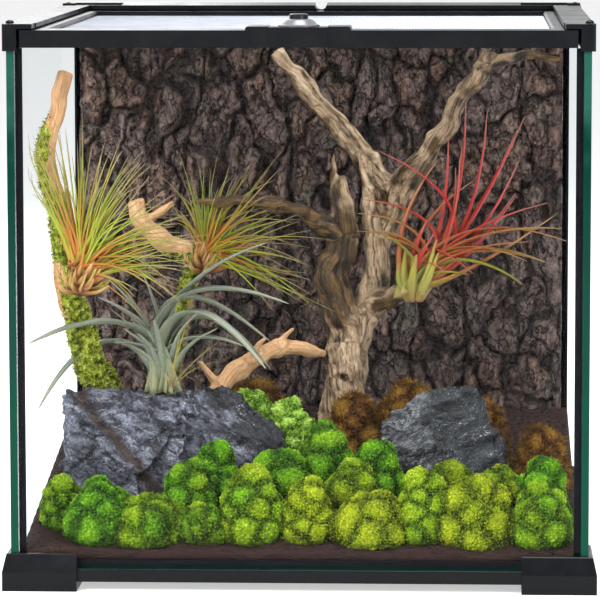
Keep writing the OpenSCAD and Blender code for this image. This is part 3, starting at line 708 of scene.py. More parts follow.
FINISHES = {
    "silicone": silicone(),
    "frame_plastic": moulded("frame_plastic", (4, 6, 9), 0.22, shine=0.13),
    "lid_plastic": moulded("lid_plastic", (5, 7, 10), 0.24, shine=0.14),
    "mesh_metal": wire_coat(),
    # The bezel's grey is a painted sheen: it stands for black glossy plastic that shows its bright
    # surroundings.
    "bezel_plastic": moulded("bezel_plastic", (84, 84, 88), 0.2, shine=0.4),
    "button_plastic": moulded("button_plastic", (10, 11, 13), 0.16, shine=0.3),
    "bolt_steel": turned_steel(),
    "bark": bark_finish(),
    "soil": soil_finish(),
    # Each stone's last colour is that of its darker side, a painted shade.
    "slate": stone_finish("blue_slate", (30, 30, 38), (84, 86, 98), (140, 144, 158),
                          (212, 216, 224), (52, 40, 36), (52, 52, 62)),
    "dark_slate": stone_finish("dark_slate", (24, 25, 28), (66, 68, 73), (122, 124, 130),
                               (206, 208, 210), (50, 56, 56), (40, 46, 52)),
    "driftwood": wood_finish(
        "driftwood",
        [(0.05, (34, 24, 16)), (0.3, (122, 98, 72)), (0.56, (184, 158, 128)), (0.9, (232, 216, 192))],
        [(0.05, (11, 7, 4)), (0.38, (50, 35, 17)), (0.68, (106, 80, 44)), (0.95, (178, 150, 106))], 0.6),
    "tan_wood": wood_finish(
        "tan_wood",
        [(0.05, (96, 56, 32)), (0.26, (176, 128, 84)), (0.6, (206, 164, 120)), (0.9, (232, 206, 170))],
        [(0.05, (72, 40, 24)), (0.3, (146, 98, 60)), (0.62, (184, 134, 86)), (0.9, (212, 174, 128))], 0.35),
    "green_moss": moss_finish("ball_moss", ((14, 30, 3), (56, 100, 12), (104, 156, 24), (172, 208, 64)),
                              ((28, 34, 3), (98, 116, 12), (156, 168, 28), (214, 214, 78))),
    "light_moss": moss_finish("light_moss",
                              ((30, 52, 10), (106, 146, 42), (166, 198, 88), (224, 236, 170))),
    "brown_moss": moss_finish("brown_moss", ((24, 12, 4), (88, 54, 16), (142, 108, 34), (206, 186, 84))),
    "branch_moss": moss_finish("branch_moss", ((18, 22, 3), (82, 94, 18), (154, 162, 50), (224, 226, 146))),
    "spiky_leaf": leaf_finish(
        "spiky_leaf",
        [(0.0, (150, 92, 40)), (0.12, (172, 150, 46)), (0.3, (160, 178, 40)),
         (0.6, (150, 168, 52)), (0.85, (150, 142, 84)), (1.0, (166, 146, 118))],
        [(0.0, (120, 56, 28)), (0.14, (196, 112, 48)), (0.36, (186, 132, 50)), (0.65, (162, 150, 64)),
         (1.0, (156, 134, 104))]),
    "dry_sheath": leaf_finish(
        "dry_sheath",
        [(0.0, (58, 28, 16)), (0.2, (120, 70, 42)), (0.5, (182, 124, 78)),
         (0.85, (206, 160, 104)), (1.0, (150, 120, 60))],
        [(0.0, (70, 34, 20)), (0.3, (150, 96, 52)), (0.7, (190, 160, 80)), (1.0, (150, 150, 60))]),
    "grey_leaf": leaf_finish(
        "grey_leaf",
        [(0.0, (150, 148, 100)), (0.15, (134, 138, 106)), (0.4, (120, 128, 104)),
         (0.8, (140, 146, 128)), (1.0, (166, 162, 138))],
        [(0.0, (130, 132, 88)), (0.3, (104, 112, 88)), (0.7, (126, 134, 116)), (1.0, (150, 150, 126))],
        scales=0.22),
    "red_leaf": leaf_finish(
        "red_leaf",
        [(0.0, (150, 144, 70)), (0.16, (170, 112, 66)), (0.36, (176, 66, 54)),
         (0.6, (180, 48, 48)), (0.85, (184, 84, 74)), (1.0, (164, 112, 98))],
        [(0.0, (146, 144, 70)), (0.2, (158, 124, 58)), (0.45, (160, 86, 48)), (0.75, (158, 120, 62)),
         (1.0, (160, 138, 98))]),
    "green_leaf": leaf_finish(
        "green_leaf",
        [(0.0, (142, 124, 72)), (0.16, (140, 140, 66)), (0.6, (142, 146, 50)),
         (0.9, (146, 140, 56)), (1.0, (138, 108, 66))],
        [(0.0, (160, 122, 80)), (0.3, (152, 144, 72)), (0.7, (160, 152, 58)), (1.0, (156, 112, 68))]),
}
SIDE_TINT = (0.966, 0.980, 0.984, 1)
FACE_TINT = (0.99, 0.995, 0.995, 1)
FLOOR_TINT = (0.97, 0.985, 0.98, 1)
PANES = {
    "glass_left": glass("left_glass", "X", SIDE_TINT, 0.06, LIT_TEAL_ENDS),
    "glass_right": glass("right_glass", "X", SIDE_TINT, 0.06, LIT_TEAL_ENDS),
    "glass_front": glass("front_glass", "Y", FACE_TINT, 0.05, BLACK_ENDS, False),
    "glass_rear": glass("rear_glass", "Y", FACE_TINT, 0.05, DEEP_ENDS),
    "glass_bottom": glass("floor_glass", "Z", FLOOR_TINT, 0.5, DEEP_ENDS),
}


def dress_nodes():
    slots = {s["node"]: s["material_slot"] for s in frame["record"]["subparts"]}
    for name, node in frame["nodes"].items():
        node.data.materials.clear()
        node.data.materials.append(PANES.get(name) or FINISHES[slots[name]])


dress_nodes()


# What repeats


def ask(tree, **inputs):
    """Named inputs for a tree of geometry nodes."""
    kinds = {"Geometry": "Geometry", "Thing": "Object", "Finish": "Material", "Seed": "Int"}
    for name, value in inputs.items():
        title = name.replace("_", " ")
        socket = tree.interface.new_socket(
            name=title, in_out="INPUT", socket_type="NodeSocket" + kinds.get(name, "Float"))
        if value is not None:
            socket.default_value = value
    tree.interface.new_socket(name="Geometry", in_out="OUTPUT", socket_type="NodeSocketGeometry")


def tuft_tree():
    """Sets a small thing all over a surface where cover allows it, turned and sized at random."""
    tree = bpy.data.node_groups.new("tufts", "GeometryNodeTree")
    ask(tree, Geometry=None, Thing=None, Gap=0.0015, Smallest=0.6, Largest=1.2, Lean=0.5, Seed=1,
        Finish=None)
    g = Nodes(tree)
    asked = g.node("NodeGroupInput")

    def given(name):
        return Wire(g, asked.outputs[name])

    def dice(low, high, seed, vector=False):
        first = 0 if vector else 2
        sockets = {first: low, first + 1: high, 8: given("Seed") + seed}
        return g.wire("FunctionNodeRandomValue", {"data_type": "FLOAT_VECTOR" if vector else "FLOAT"},
                      sockets, 0 if vector else 1)

    cover = g.wire("GeometryNodeInputNamedAttribute", {"data_type": "FLOAT"}, {"Name": "cover"})
    spread = g.node("GeometryNodeDistributePointsOnFaces", {"distribute_method": "POISSON"},
                    {"Mesh": given("Geometry"), "Distance Min": given("Gap"), "Density Max": 4e6,
                     "Density Factor": cover, "Seed": given("Seed")})
    # Each tuft gets a random speck. The skin beneath keeps 0, which the moss finishes paint darker: painted
    # shade between tufts.
    marked = g.wire("GeometryNodeStoreNamedAttribute", {"data_type": "FLOAT", "domain": "POINT"},
                    {"Geometry": Wire(g, spread.outputs["Points"]), "Name": "speck",
                     "Value": dice(0.0, 1.0, 3)})
    lean = given("Lean")
    down = g.wire("ShaderNodeCombineXYZ", None, {0: lean * -1, 1: lean * -1, 2: -3.1416})
    up = g.wire("ShaderNodeCombineXYZ", None, {0: lean, 1: lean, 2: 3.1416})
    turn = g.wire("FunctionNodeEulerToRotation", None, {0: dice(down, up, 5, True)})
    turned = g.wire("FunctionNodeRotateRotation", {"rotation_space": "LOCAL"},
                    {0: Wire(g, spread.outputs["Rotation"]), 1: turn})
    thing = g.wire("GeometryNodeObjectInfo", None, {0: given("Thing")}, "Geometry")
    tufts = g.wire("GeometryNodeInstanceOnPoints", None,
                   {"Points": marked, "Instance": thing, "Rotation": turned,
                    "Scale": dice(given("Smallest"), given("Largest"), 7)})
    both = g.wire("GeometryNodeJoinGeometry", None, {0: [given("Geometry"), tufts]})
    real = g.wire("GeometryNodeRealizeInstances", None, {0: both})
    painted = g.wire("GeometryNodeSetMaterial", None, {"Geometry": real, "Material": given("Finish")})
    g.node("NodeGroupOutput", None, {0: painted})
    return tree


def wire_tree():
    """Straight wires in two crossing layers, each wire a slim prism."""
    tree = bpy.data.node_groups.new("wires", "GeometryNodeTree")
    ask(tree, Geometry=None, Width=0.26, Length=0.25, Pitch=0.0015, Wire=0.0004, Finish=None)
    g = Nodes(tree)
    asked = g.node("NodeGroupInput")
    width, length, pitch, wire = (Wire(g, asked.outputs[n]) for n in ("Width", "Length", "Pitch", "Wire"))
    layers = []
    for run, count, turn, level in ((length, width, (math.pi / 2, 0, 0), 0.5),
                                    (width, length, (0, math.pi / 2, 0), -0.5)):
        number = g.wire("FunctionNodeFloatToInt", {"rounding_mode": "ROUND"}, {0: count / pitch})
        x, y = (1, 0) if turn[0] else (0, 1)
        gap = count / number
        edge = (gap - count) * 0.5
        offset = g.wire("ShaderNodeCombineXYZ", None, {0: gap * x, 1: gap * y})
        start = g.wire("ShaderNodeCombineXYZ", None, {0: edge * x, 1: edge * y, 2: wire * level})
        line = g.wire("GeometryNodeMeshLine", None,
                      {"Count": number, "Start Location": start, "Offset": offset})
        rod = g.wire("GeometryNodeMeshCylinder", {"fill_type": "TRIANGLE_FAN"},
                     {"Vertices": 6, "Side Segments": 1, "Radius": wire * 0.5, "Depth": run})
        layers.append(g.wire("GeometryNodeInstanceOnPoints", None,
                             {"Points": line, "Instance": rod, "Rotation": turn}))
    both = g.wire("GeometryNodeJoinGeometry", None, {0: layers})
    real = g.wire("GeometryNodeRealizeInstances", None, {0: both})
    painted = g.wire("GeometryNodeSetMaterial", None,
                     {"Geometry": real, "Material": Wire(g, asked.outputs["Finish"])})
    g.node("NodeGroupOutput", None, {0: painted})
    return tree


def grow(piece, tree, **values):
    """Runs the tree on the piece, with its inputs set by name, and keeps the result."""
    modifier = piece.modifiers.new("grow", "NODES")
    modifier.node_group = tree
    for socket in tree.interface.items_tree:
        key = socket.name.replace(" ", "_")
        if socket.in_out == "INPUT" and key in values:
            modifier[socket.identifier] = values[key]
    return settle(piece)


TUFTS = tuft_tree()
SPIKE_LENGTH = 0.004


def bit(name, kind):
    """A small thing a millimetre or so in size, to be set many times."""
    shape = bmesh.new()
    if kind == "blob":
        bmesh.ops.create_icosphere(shape, subdivisions=1, radius=0.00085)
        for i, v in enumerate(shape.verts):
            v.co *= 0.8 + 0.4 * SCATTER[i * 7 % 256, 0]
    elif kind == "spike":
        bmesh.ops.create_cone(shape, segments=3, radius1=0.0003, radius2=0.00005, depth=SPIKE_LENGTH,
                              cap_ends=True)
        for v in shape.verts:
            t = v.co.z / SPIKE_LENGTH + 0.5
            v.co.z += 0.0016
            v.co.x += 0.0008 * t * t
    elif kind == "leaflet":
        bmesh.ops.create_icosphere(shape, subdivisions=1, radius=0.001)
        for v in shape.verts:
            v.co = Vector((v.co.x * 0.42, v.co.y * 0.22, v.co.z * 1.1 + 0.0006))
    else:
        bmesh.ops.create_icosphere(shape, subdivisions=1, radius=0.001)
        for i, v in enumerate(shape.verts):
            v.co.x *= 2.0 * (0.6 + 0.6 * SCATTER[i * 5 % 256, 1])
            v.co.y *= 0.5 + 0.8 * SCATTER[i * 3 % 256, 2]
            v.co.z *= 0.5
    mesh = mesh_of(shape, bpy.data.meshes.new(name))
    mesh.polygons.foreach_set("use_smooth", [True] * len(mesh.polygons))
    return in_scene(name, mesh)


BLOB, SPIKE, LEAFLET, CHIP = (bit("bit_" + kind, kind) for kind in ("blob", "spike", "leaflet", "chip"))


# The wire mesh of the lid

WIRE_PITCH, WIRE_WIDTH = 1.6, 0.42


def lid_wires():
    low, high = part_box("lid_mesh")
    piece = new_piece("lid_wire_mesh", [], [], FINISHES["mesh_metal"])
    grow(piece, wire_tree(), Width=high.x - low.x, Length=high.y - low.y, Pitch=WIRE_PITCH * MM,
         Wire=WIRE_WIDTH * MM, Finish=FINISHES["mesh_metal"])
    piece.data.transform(Matrix.Translation((low + high) / 2))
    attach(piece, "lid")
    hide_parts("lid_mesh")


lid_wires()


# Bark and soil

BARK_GRID = (286, 268)
BARK_BACK, BARK_RELIEF = 5, 15.0


def bark():
    low, high = (np.array(corner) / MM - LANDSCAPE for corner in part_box("bark_background"))
    columns, rows = BARK_GRID
    x, z = np.meshgrid(np.linspace(low[0], high[0], columns), np.linspace(low[2], high[2], rows))
    flat = np.stack([x.ravel(), np.zeros(x.size), z.ravel()], 1)
    bent = flat + np.stack([rough(flat, (20, 9, 26), 5, 3) * 6, np.zeros(x.size),
                            rough(flat, (24, 9, 22), 5, 9) * 10], 1)
    plate, tone, lean = raised(patches(bent, (17, 40, 40), 2), 0.14)
    flake, tone2, lean2 = raised(patches(bent + 50, (8, 40, 15), 5), 0.12)
    scale, _, lean3 = raised(patches(bent * (1, 1, 0.8) + 90, (4.2, 40, 5.6), 7), 0.2)
    height = (0.30 * plate + 0.16 * tone * plate + 0.14 * lean * plate + 0.14 * flake * (0.4 + tone2)
              + 0.14 * lean2 * flake + 0.07 * scale + 0.08 * lean3
              + 0.14 * rough(flat, (7, 9, 16), 5, 33) + 0.12)
    height = np.clip(height, 0, 1.05)
    front = high[1] - BARK_BACK - BARK_RELIEF * height
    edge = np.minimum(np.minimum(flat[:, 0] - low[0], high[0] - flat[:, 0]), 6) / 6
    front += (1 - edge) * 3
    points = np.stack([flat[:, 0], np.maximum(front, low[1]), flat[:, 2]], 1)
    i = np.arange(rows - 1)[:, None] * columns + np.arange(columns - 1)[None]
    faces = np.stack([i, i + 1, i + 1 + columns, i + columns], -1).reshape(-1, 4).tolist()
    rim = (list(range(columns)) + [r * columns + columns - 1 for r in range(1, rows)]
           + list(range(rows * columns - 2, (rows - 1) * columns - 1, -1))
           + [r * columns for r in range(rows - 2, 0, -1)])
    back = points[rim].copy()
    back[:, 1] = high[1] - 0.05
    start = len(points)
    count = len(rim)
    faces += [[rim[(k + 1) % count], rim[k], start + k, start + (k + 1) % count] for k in range(count)]
    faces.append([start + k for k in range(count)][::-1])
    # top is high on the crowns of the raised plates, which the finish paints lighter as a painted
    # highlight.
    top = np.clip(plate * (0.4 + 0.6 * flake) * (0.75 + 0.25 * scale) * (0.5 + 0.7 * height), 0, 1)
    values = {"top": np.concatenate([top, np.full(count, 0.5)]),
              "tone": np.concatenate([0.5 * tone + 0.5 * tone2, np.full(count, 0.5)])}
    piece = new_piece("bark_sheet", np.vstack([points, back]), faces, FINISHES["bark"], values)
    tanked(outwards(piece), "bark_background", slot="bark")


def soil():
    piece = recast("soil_bed", "substrate", FINISHES["soil"], 2.0)
    points, normals = points_and_normals(piece)
    top = ease_in(normals[:, 2], 0.3, 0.8)
    inside = ease_in(INNER_X - abs(points[:, 0]), 0.5, 4)
    lift = rough(points, (15, 15, 15), 4, 6) * 1.1 + rough(points, 3.5, 2, 12) * 0.6
    points[:, 2] += lift * top * inside
    put_points(piece, points)
    keep_values(piece.data, "cover", top * inside)
    keep_values(piece.data, "depth", np.zeros(len(points)))
    grow(piece, TUFTS, Thing=CHIP, Gap=0.0042, Smallest=0.5, Largest=1.3, Lean=0.5, Seed=4,
         Finish=FINISHES["soil"])
    tanked(piece, "substrate", slot="soil")


# Rocks


def rock(name, node, slot, seed, bed, vein, shade):
    """bed is the direction across the stone's layers. vein is a point and a direction of a seam across
    its front, and its width. shade is a function of the points that is above 0.5 on the faces that the
    finish paints dark as shade."""
    piece = recast(name, node, FINISHES[slot], 1.2)
    points, normals = points_and_normals(piece)
    bed = np.array(bed) / np.linalg.norm(bed)
    along = np.cross(bed, (0, 1, 0))
    along /= np.linalg.norm(along)
    frame_of = np.stack([along, np.cross(bed, along), bed], 1)
    bent = points + np.stack([rough(points, 20, 4, seed + k) for k in range(3)], 1) * 2.5
    lie = bent @ frame_of
    block, tone, lean = raised(patches(lie, (30, 22, 15), seed), 0.08)
    slab, tone2, lean2 = raised(patches(lie + 40, (13, 10, 6), seed + 3), 0.10)
    flake, _, lean3 = raised(patches(lie + 80, (5.5, 4.5, 2.4), seed + 5), 0.15)
    start, heading, width = (np.array(v, float) for v in vein)
    away = points[:, [0, 2]] - start
    heading = heading / np.linalg.norm(heading)
    beside = away[:, 0] * heading[1] - away[:, 1] * heading[0] + rough(points, 9, 3, seed + 30) * 1.8
    reach = np.exp(-(beside / width) ** 2)
    cracks = [1 - height for height in (block, slab, flake)]
    dent = (4.5 * (lean + 0.25) + 1.7 * lean2 + 0.7 * lean3 + 0.9 * cracks[0] + 0.6 * cracks[1]
            + 0.25 * cracks[2] + 2.2 * reach + 1.6 * (tone - 0.5) + 0.8 * (tone2 - 0.5)
            - 0.5 * rough(points, 3.0, 2, seed + 15))
    grounded = ease_in(over_soil(points), -1, 4)
    points -= normals * (np.clip(dent, -1.6, 5.5) * grounded)[:, None]
    put_points(piece, points)
    # Seams between cells and the foot near the soil are painted darker by the finish: painted shade.
    low = 1 - ease_in(over_soil(points), 0, 16)
    keep_values(piece.data, "lie", lie / (5, 2.5, 1))
    keep_values(piece.data, "hollow",
                np.clip(0.7 * cracks[0] + 0.5 * cracks[1] + 0.3 * cracks[2] + low * 0.4, 0, 1))
    keep_values(piece.data, "vein", np.clip(reach * 1.1, 0, 1))
    keep_values(piece.data, "shade", shade(points))
    tanked(piece, node, slot=slot)


# Wood

# Each limb is its shade, from pale to dark, and points with the radius there
FORK, CROWN = (19, 190, 86, 11), (41.5, 200, 153, 8)
TREE = [
    (0.05, [(17, 190, rise(190), 13.5), (17.3, 190, 45, 12.8), (17.5, 190, 66, 12.5), FORK,
            (19.5, 191, 96, 8)]),
    (1.0, [FORK, (13.5, 186, 112, 8.5), (12, 184, 129, 8), (17.5, 184, 148, 7)]),
    (0.45, [(17.5, 184, 148, 6.6), (15, 186, 168, 5.4), (13.5, 188, 182, 4.2)]),
    (0.5, [(12, 187, 178, 2.6), (11, 187, 188, 1.6), (11.5, 187, 195, 0.6)]),
    (0.3, [(31, 197, 172, 3.2), (27.5, 196, 184, 2.0), (26, 196, 190, 0.8)]),
    (0.9, [(17.5, 184, 148, 6), (9, 184, 154, 5.5), (-2, 180, 160, 5), (-12, 176, 165, 4.2),
           (-35, 170, 169, 3), (-65, 166, 169, 1.6)]),
    (0.2, [FORK, (31.5, 196, 110, 8), (35, 198, 139, 7.5), (33.5, 198, 162, 6), (30, 198, 179, 4)]),
    (0.25, [(35, 198, 139, 7.5), CROWN, (44, 200, 167, 7.2), (34, 200, 183, 6.2), (25.5, 202, 195, 5.8),
            (17, 204, 207, 5.4), (0, 206, 226, 5), (-14, 208, 240, 4.6), (-22, 208, 251, 4.2)]),
    (0.45, [CROWN, (48.5, 196, 170, 6.5), (62.5, 198, 193, 5.5), (79, 200, 218, 5), (90, 202, 235, 4.6),
            (99, 204, 251, 4.2)]),
    (0.8, [(94, 203, 243, 3.4), (110, 206, 248, 2.8), (124, 208, 248, 2.4), (139, 208, 247, 1.8)]),
    (0.6, [(44, 200, 167, 4), (48.5, 190, 184, 2.8), (58.5, 186, 195, 1.6)]),
    (0.7, [(31.5, 196, 110, 6), (43, 187, 113, 5), (55, 182, 118, 4)]),
]
LEFT_BRANCH = [
    (0.5, [(-128, 80, 246, 4.4), (-133, 80, 228, 4.4), (-137.5, 78, 206, 4.6), (-136.5, 78, 190, 4.8),
           (-133, 80, 174, 5.6), (-131, 84, 155, 6), (-128, 92, 127, 7), (-123.5, 100, 102, 7.4),
           (-118, 108, 84, 7.8), (-112, 117, 70, 8), (-109.5, 120, 45, 8.2), (-109, 121, rise(121), 8.4)]),
]
BACK_BRANCH = [
    (0.2, [(-101.5, 195, 167, 4.6), (-98, 195, 155, 5.4), (-85, 195, 143, 5.6), (-68, 195, 134, 5.6),
           (-70.5, 195, 119, 5.5), (-75, 195, 102, 5.6), (-79, 195, 85, 6), (-83, 193, 62, 6.4),
           (-84, 192, rise(192), 7)]),
    (0.4, [(-98, 195, 155, 3), (-88, 197, 160, 2.2), (-80, 198, 166, 1.2)]),
]
LOW_BRANCH = [
    (0.1, [(-63, 142, rise(142), 6), (-61, 142, 36, 5.8), (-58, 142, 50, 5.6), (-50, 143, 67, 5.4),
           (-34, 150, 81, 5.2), (-21, 157, 87, 5), (-8, 164, 87, 4.4), (-2, 169, 85, 3.4),
           (6, 179, 82, 2.4)]),
    (0.3, [(-34, 150, 81, 3), (-30, 146, 90, 2), (-25, 143, 95, 1.2)]),
    (0.3, [(-50, 143, 67, 3.4), (-58, 148, 76, 2), (-62, 150, 81, 1.2)]),
    (0.3, [(-21, 157, 87, 2.6), (-14, 158, 95, 1.6), (-10, 158, 99, 1)]),
]
# Faces that turn this way are painted darker: a painted shade under and to the left of the limbs.
SHADED_UNDERSIDE = np.array((-0.35, 0.1, -0.93))


def wood(name, limbs, slot, node, grain, seed, depth=1.0, carve=1.2):
    """Limbs as tapered skins, fused, then carved along their grain."""
    heap, samples = Heap(), []
    for number, (shade, limb) in enumerate(limbs):
        line = smooth_line(limb, 2.0)
        path, radius = line[:, :3], line[:, 3]
        ends = np.minimum(np.arange(len(path)), np.arange(len(path))[::-1])
        path = path + np.stack([rough(path, (16, 16, 22), 3, seed + 20 + k) for k in range(3)], 1) * (
            ease_in(ends, 0, 8) * 2.6 * depth)[:, None]
        ahead, across, other = frames_along(path)
        turn = np.arange(16) * math.tau / 16
        ring = np.stack([np.cos(turn), np.sin(turn)], 1)
        spokes = ring[None, :, :1] * across[:, None] + ring[None, :, 1:] * other[:, None]
        around = path[:, None] + spokes * radius[:, None, None]
        lump = rough(around.reshape(-1, 3), (10, 10, 36), 4, seed).reshape(around.shape[:2])
        outline = ring[None] * (radius[:, None] * (0.94 + 0.1 * depth + 0.32 * depth * lump))[..., None]
        heap.add(*tube(path, across, other, outline))
        run = np.concatenate([[0], np.cumsum(np.linalg.norm(np.diff(path, axis=0), axis=1))])
        more = np.full((len(path), 2), (shade, number))
        samples.append(np.column_stack([path, across, other, run, radius, more]))
    piece = fuse(heap.piece(name, FINISHES[slot]), grain, 2)
    points, normals = points_and_normals(piece)
    samples = np.vstack(samples)
    shades = samples[:, 11]
    tree = kdtree.KDTree(len(samples))
    for i, sample in enumerate(samples):
        tree.insert(sample[:3], i)
    tree.balance()
    blended = np.array([np.mean([shades[i] for _, i, _ in tree.find_n(p, 24)]) for p in points])
    nearest = samples[[tree.find(p)[1] for p in points]]
    where, across, other = nearest[:, :3], nearest[:, 3:6], nearest[:, 6:9]
    run, radius, _, number = nearest[:, 9:].T
    off = points - where
    lie = np.stack([(off * across).sum(1), (off * other).sum(1),
                    run + (off * np.cross(across, other)).sum(1)], 1)
    twist = lie[:, 2] / 48 + 0.5 * rough(where, 40, 2, seed + 12)
    lie[:, :2] = np.stack([lie[:, 0] * np.cos(twist) - lie[:, 1] * np.sin(twist),
                           lie[:, 0] * np.sin(twist) + lie[:, 1] * np.cos(twist)], 1)
    lie[:, 0] += number * 37
    stretched = lie / (1, 1, 16)
    furrow = 1 - abs(swell(stretched, 2.6, seed + 1)) * 2
    split = 1 - abs(swell(stretched, 6.0, seed + 2)) * 2.6
    knots, _, spot, _ = patches(lie, (9, 9, 16), seed + 4)
    knot = ease_in(0.42 - knots, 0, 0.3) * (spot > 0.55)
    strength = np.clip(radius / 6, 0.25, 1.2) * depth
    groove = 0.35 * np.clip(furrow, 0, 1) ** 3 + 0.8 * np.clip(split, 0, 1) ** 5 + 0.9 * knot
    groove = np.clip(groove, 0, 1.6)
    swellings = 1.8 * rough(points, (11, 11, 30), 3, seed + 9)
    swellings = swellings + 0.3 * rough(lie / (1, 1, 9), 4, 3, seed + 6)
    points -= normals * ((groove * carve - swellings) * strength)[:, None]
    put_points(piece, points)
    keep_values(piece.data, "grain", stretched)
    # The grooves are also painted darker by the finish, as shade.
    keep_values(piece.data, "groove", np.clip(groove * carve, 0, 1))
    # Faces turned down and to the left are painted darker on top of each limb's own tone: painted shade.
    under = ease_in(normals @ SHADED_UNDERSIDE + 0.5 * rough(points, 12, 3, seed + 15), -0.1, 0.8)
    keep_values(piece.data, "shade", blended + under * 0.5 * depth - 0.06)
    return tanked(piece, node, slot=slot)


def branch_moss(branch, name, cover, seed):
    """A jacket of small moss leaves on the part of a branch where cover, a function of its points and
    normals, is above 0."""
    points, normals = points_and_normals(branch)
    share = np.clip(cover(points, normals) + 0.4 * rough(points, 7, 3, seed), 0, 1)
    mesh = branch.data.copy()
    for key in ("grain", "groove", "shade"):
        mesh.attributes.remove(mesh.attributes[key])
    shape = bmesh.new()
    shape.from_mesh(mesh)
    shape.verts.ensure_lookup_table()
    for v in shape.verts:
        v.co += Vector(normals[v.index] * (1.5 * share[v.index] - 0.7) * MM)
    bare = [v for v in shape.verts if share[v.index] <= 0.02]
    bmesh.ops.delete(shape, geom=bare, context="VERTS")
    piece = in_scene(name, mesh_of(shape, mesh))
    wall = piece.modifiers.new("wall", "SOLIDIFY")
    wall.thickness, wall.offset = 0.0008, -1
    settle(piece)
    keep_values(piece.data, "cover", np.ones(len(piece.data.vertices)))
    points, normals = points_and_normals(piece)
    keep_values(piece.data, "depth", np.clip(0.2 + 0.8 * rough(points, 3, 3, seed + 5), -0.2, 1))
    grow(piece, TUFTS, Thing=LEAFLET, Gap=0.0014, Smallest=0.5, Largest=1.25, Lean=0.9, Seed=seed,
         Finish=FINISHES["branch_moss"])
    tanked(piece, slot="green_moss")


# Moss

# Each cushion is its place, its radius and height, and its hue, from green to yellow. The lobes keep
# within LOBE_X and behind LOBE_Y, with their middles in front of LOBE_BACK. The skin keeps within
# SKIN_X and behind SKIN_Y.
LOBE_X, LOBE_Y, LOBE_BACK = 145.2, 4.8, 270
SKIN_X, SKIN_Y = 145.6, 4.4
FRONT_ROW = [(-106, 29, 20.5, 31, 0.2), (-81, 26.5, 21, 24, 0.55), (-52, 27, 15, 20, 0.4),
             (-26, 30, 18.5, 38, 0.5), (3.5, 28, 14, 33, 0.8), (36.5, 27.5, 22, 26, 0.9),
             (64, 30, 16, 37, 0.55), (92.7, 28, 22, 35, 0.85), (126, 26, 18, 31, 0.45)]
MIDDLE_ROW = [(-128, 48, 13, 28, 0.45), (-61, 52, 16, 34, 0.3), (-47, 66, 14, 42, 0.1),
              (-12.6, 60, 20, 38, 0.3), (11, 80, 18.5, 47, 0.25), (26, 57, 17, 35, 0.6),
              (38, 74, 17, 40, 0.1), (78, 60, 17, 33, 0.65), (104, 59, 17, 31, 0.6),
              (127, 52, 16.5, 36, 0.05)]
BROWN_TUFTS = [(23.5, 154, 17, 42, 0), (53, 172, 20, 43, 0), (-38, 235, 24, 26, 0),
               (128.5, 118, 16, 34, 0), (98, 152, 14, 38, 0)]
LIGHT_PATCH = [(-34, 149, 20, 45, 0), (-12, 147, 17, 40, 0)]


def lobes_of(place, seed, share, spread):
    """Round heads that a cushion is swollen into: middles and radii."""
    x, y, radius, height, _ = place
    dice = np.random.default_rng(seed)
    reach = np.array([radius, radius, height])
    size = min(radius, height) * share
    count = int(spread * (radius * height + 0.5 * radius ** 2) / size ** 2) + 3
    lift = 1 - (np.arange(count) + 0.5) / count
    flat = np.sqrt(1 - lift ** 2)
    turn = math.pi * (3 - math.sqrt(5)) * np.arange(count) + dice.random() * 6
    heads = np.stack([flat * np.cos(turn), flat * np.sin(turn), lift], 1) + dice.normal(0, 0.12, (count, 3))
    heads /= np.linalg.norm(heads, axis=1)[:, None]
    sizes = size * dice.uniform(0.72, 1.2, count)
    middles = heads * (reach * 1.04 - sizes[:, None]) * dice.uniform(0.9, 1.04, (count, 1))
    middles[:, 2] = np.maximum(middles[:, 2], sizes * 0.35)
    middles += (x, y, 0)
    middles[:, 2] += rise(middles[:, 1])
    largest = sizes.max()
    middles[:, :2] = np.clip(middles[:, :2], (-LOBE_X + largest, LOBE_Y + largest),
                             (LOBE_X - largest, LOBE_BACK))
    return middles, sizes


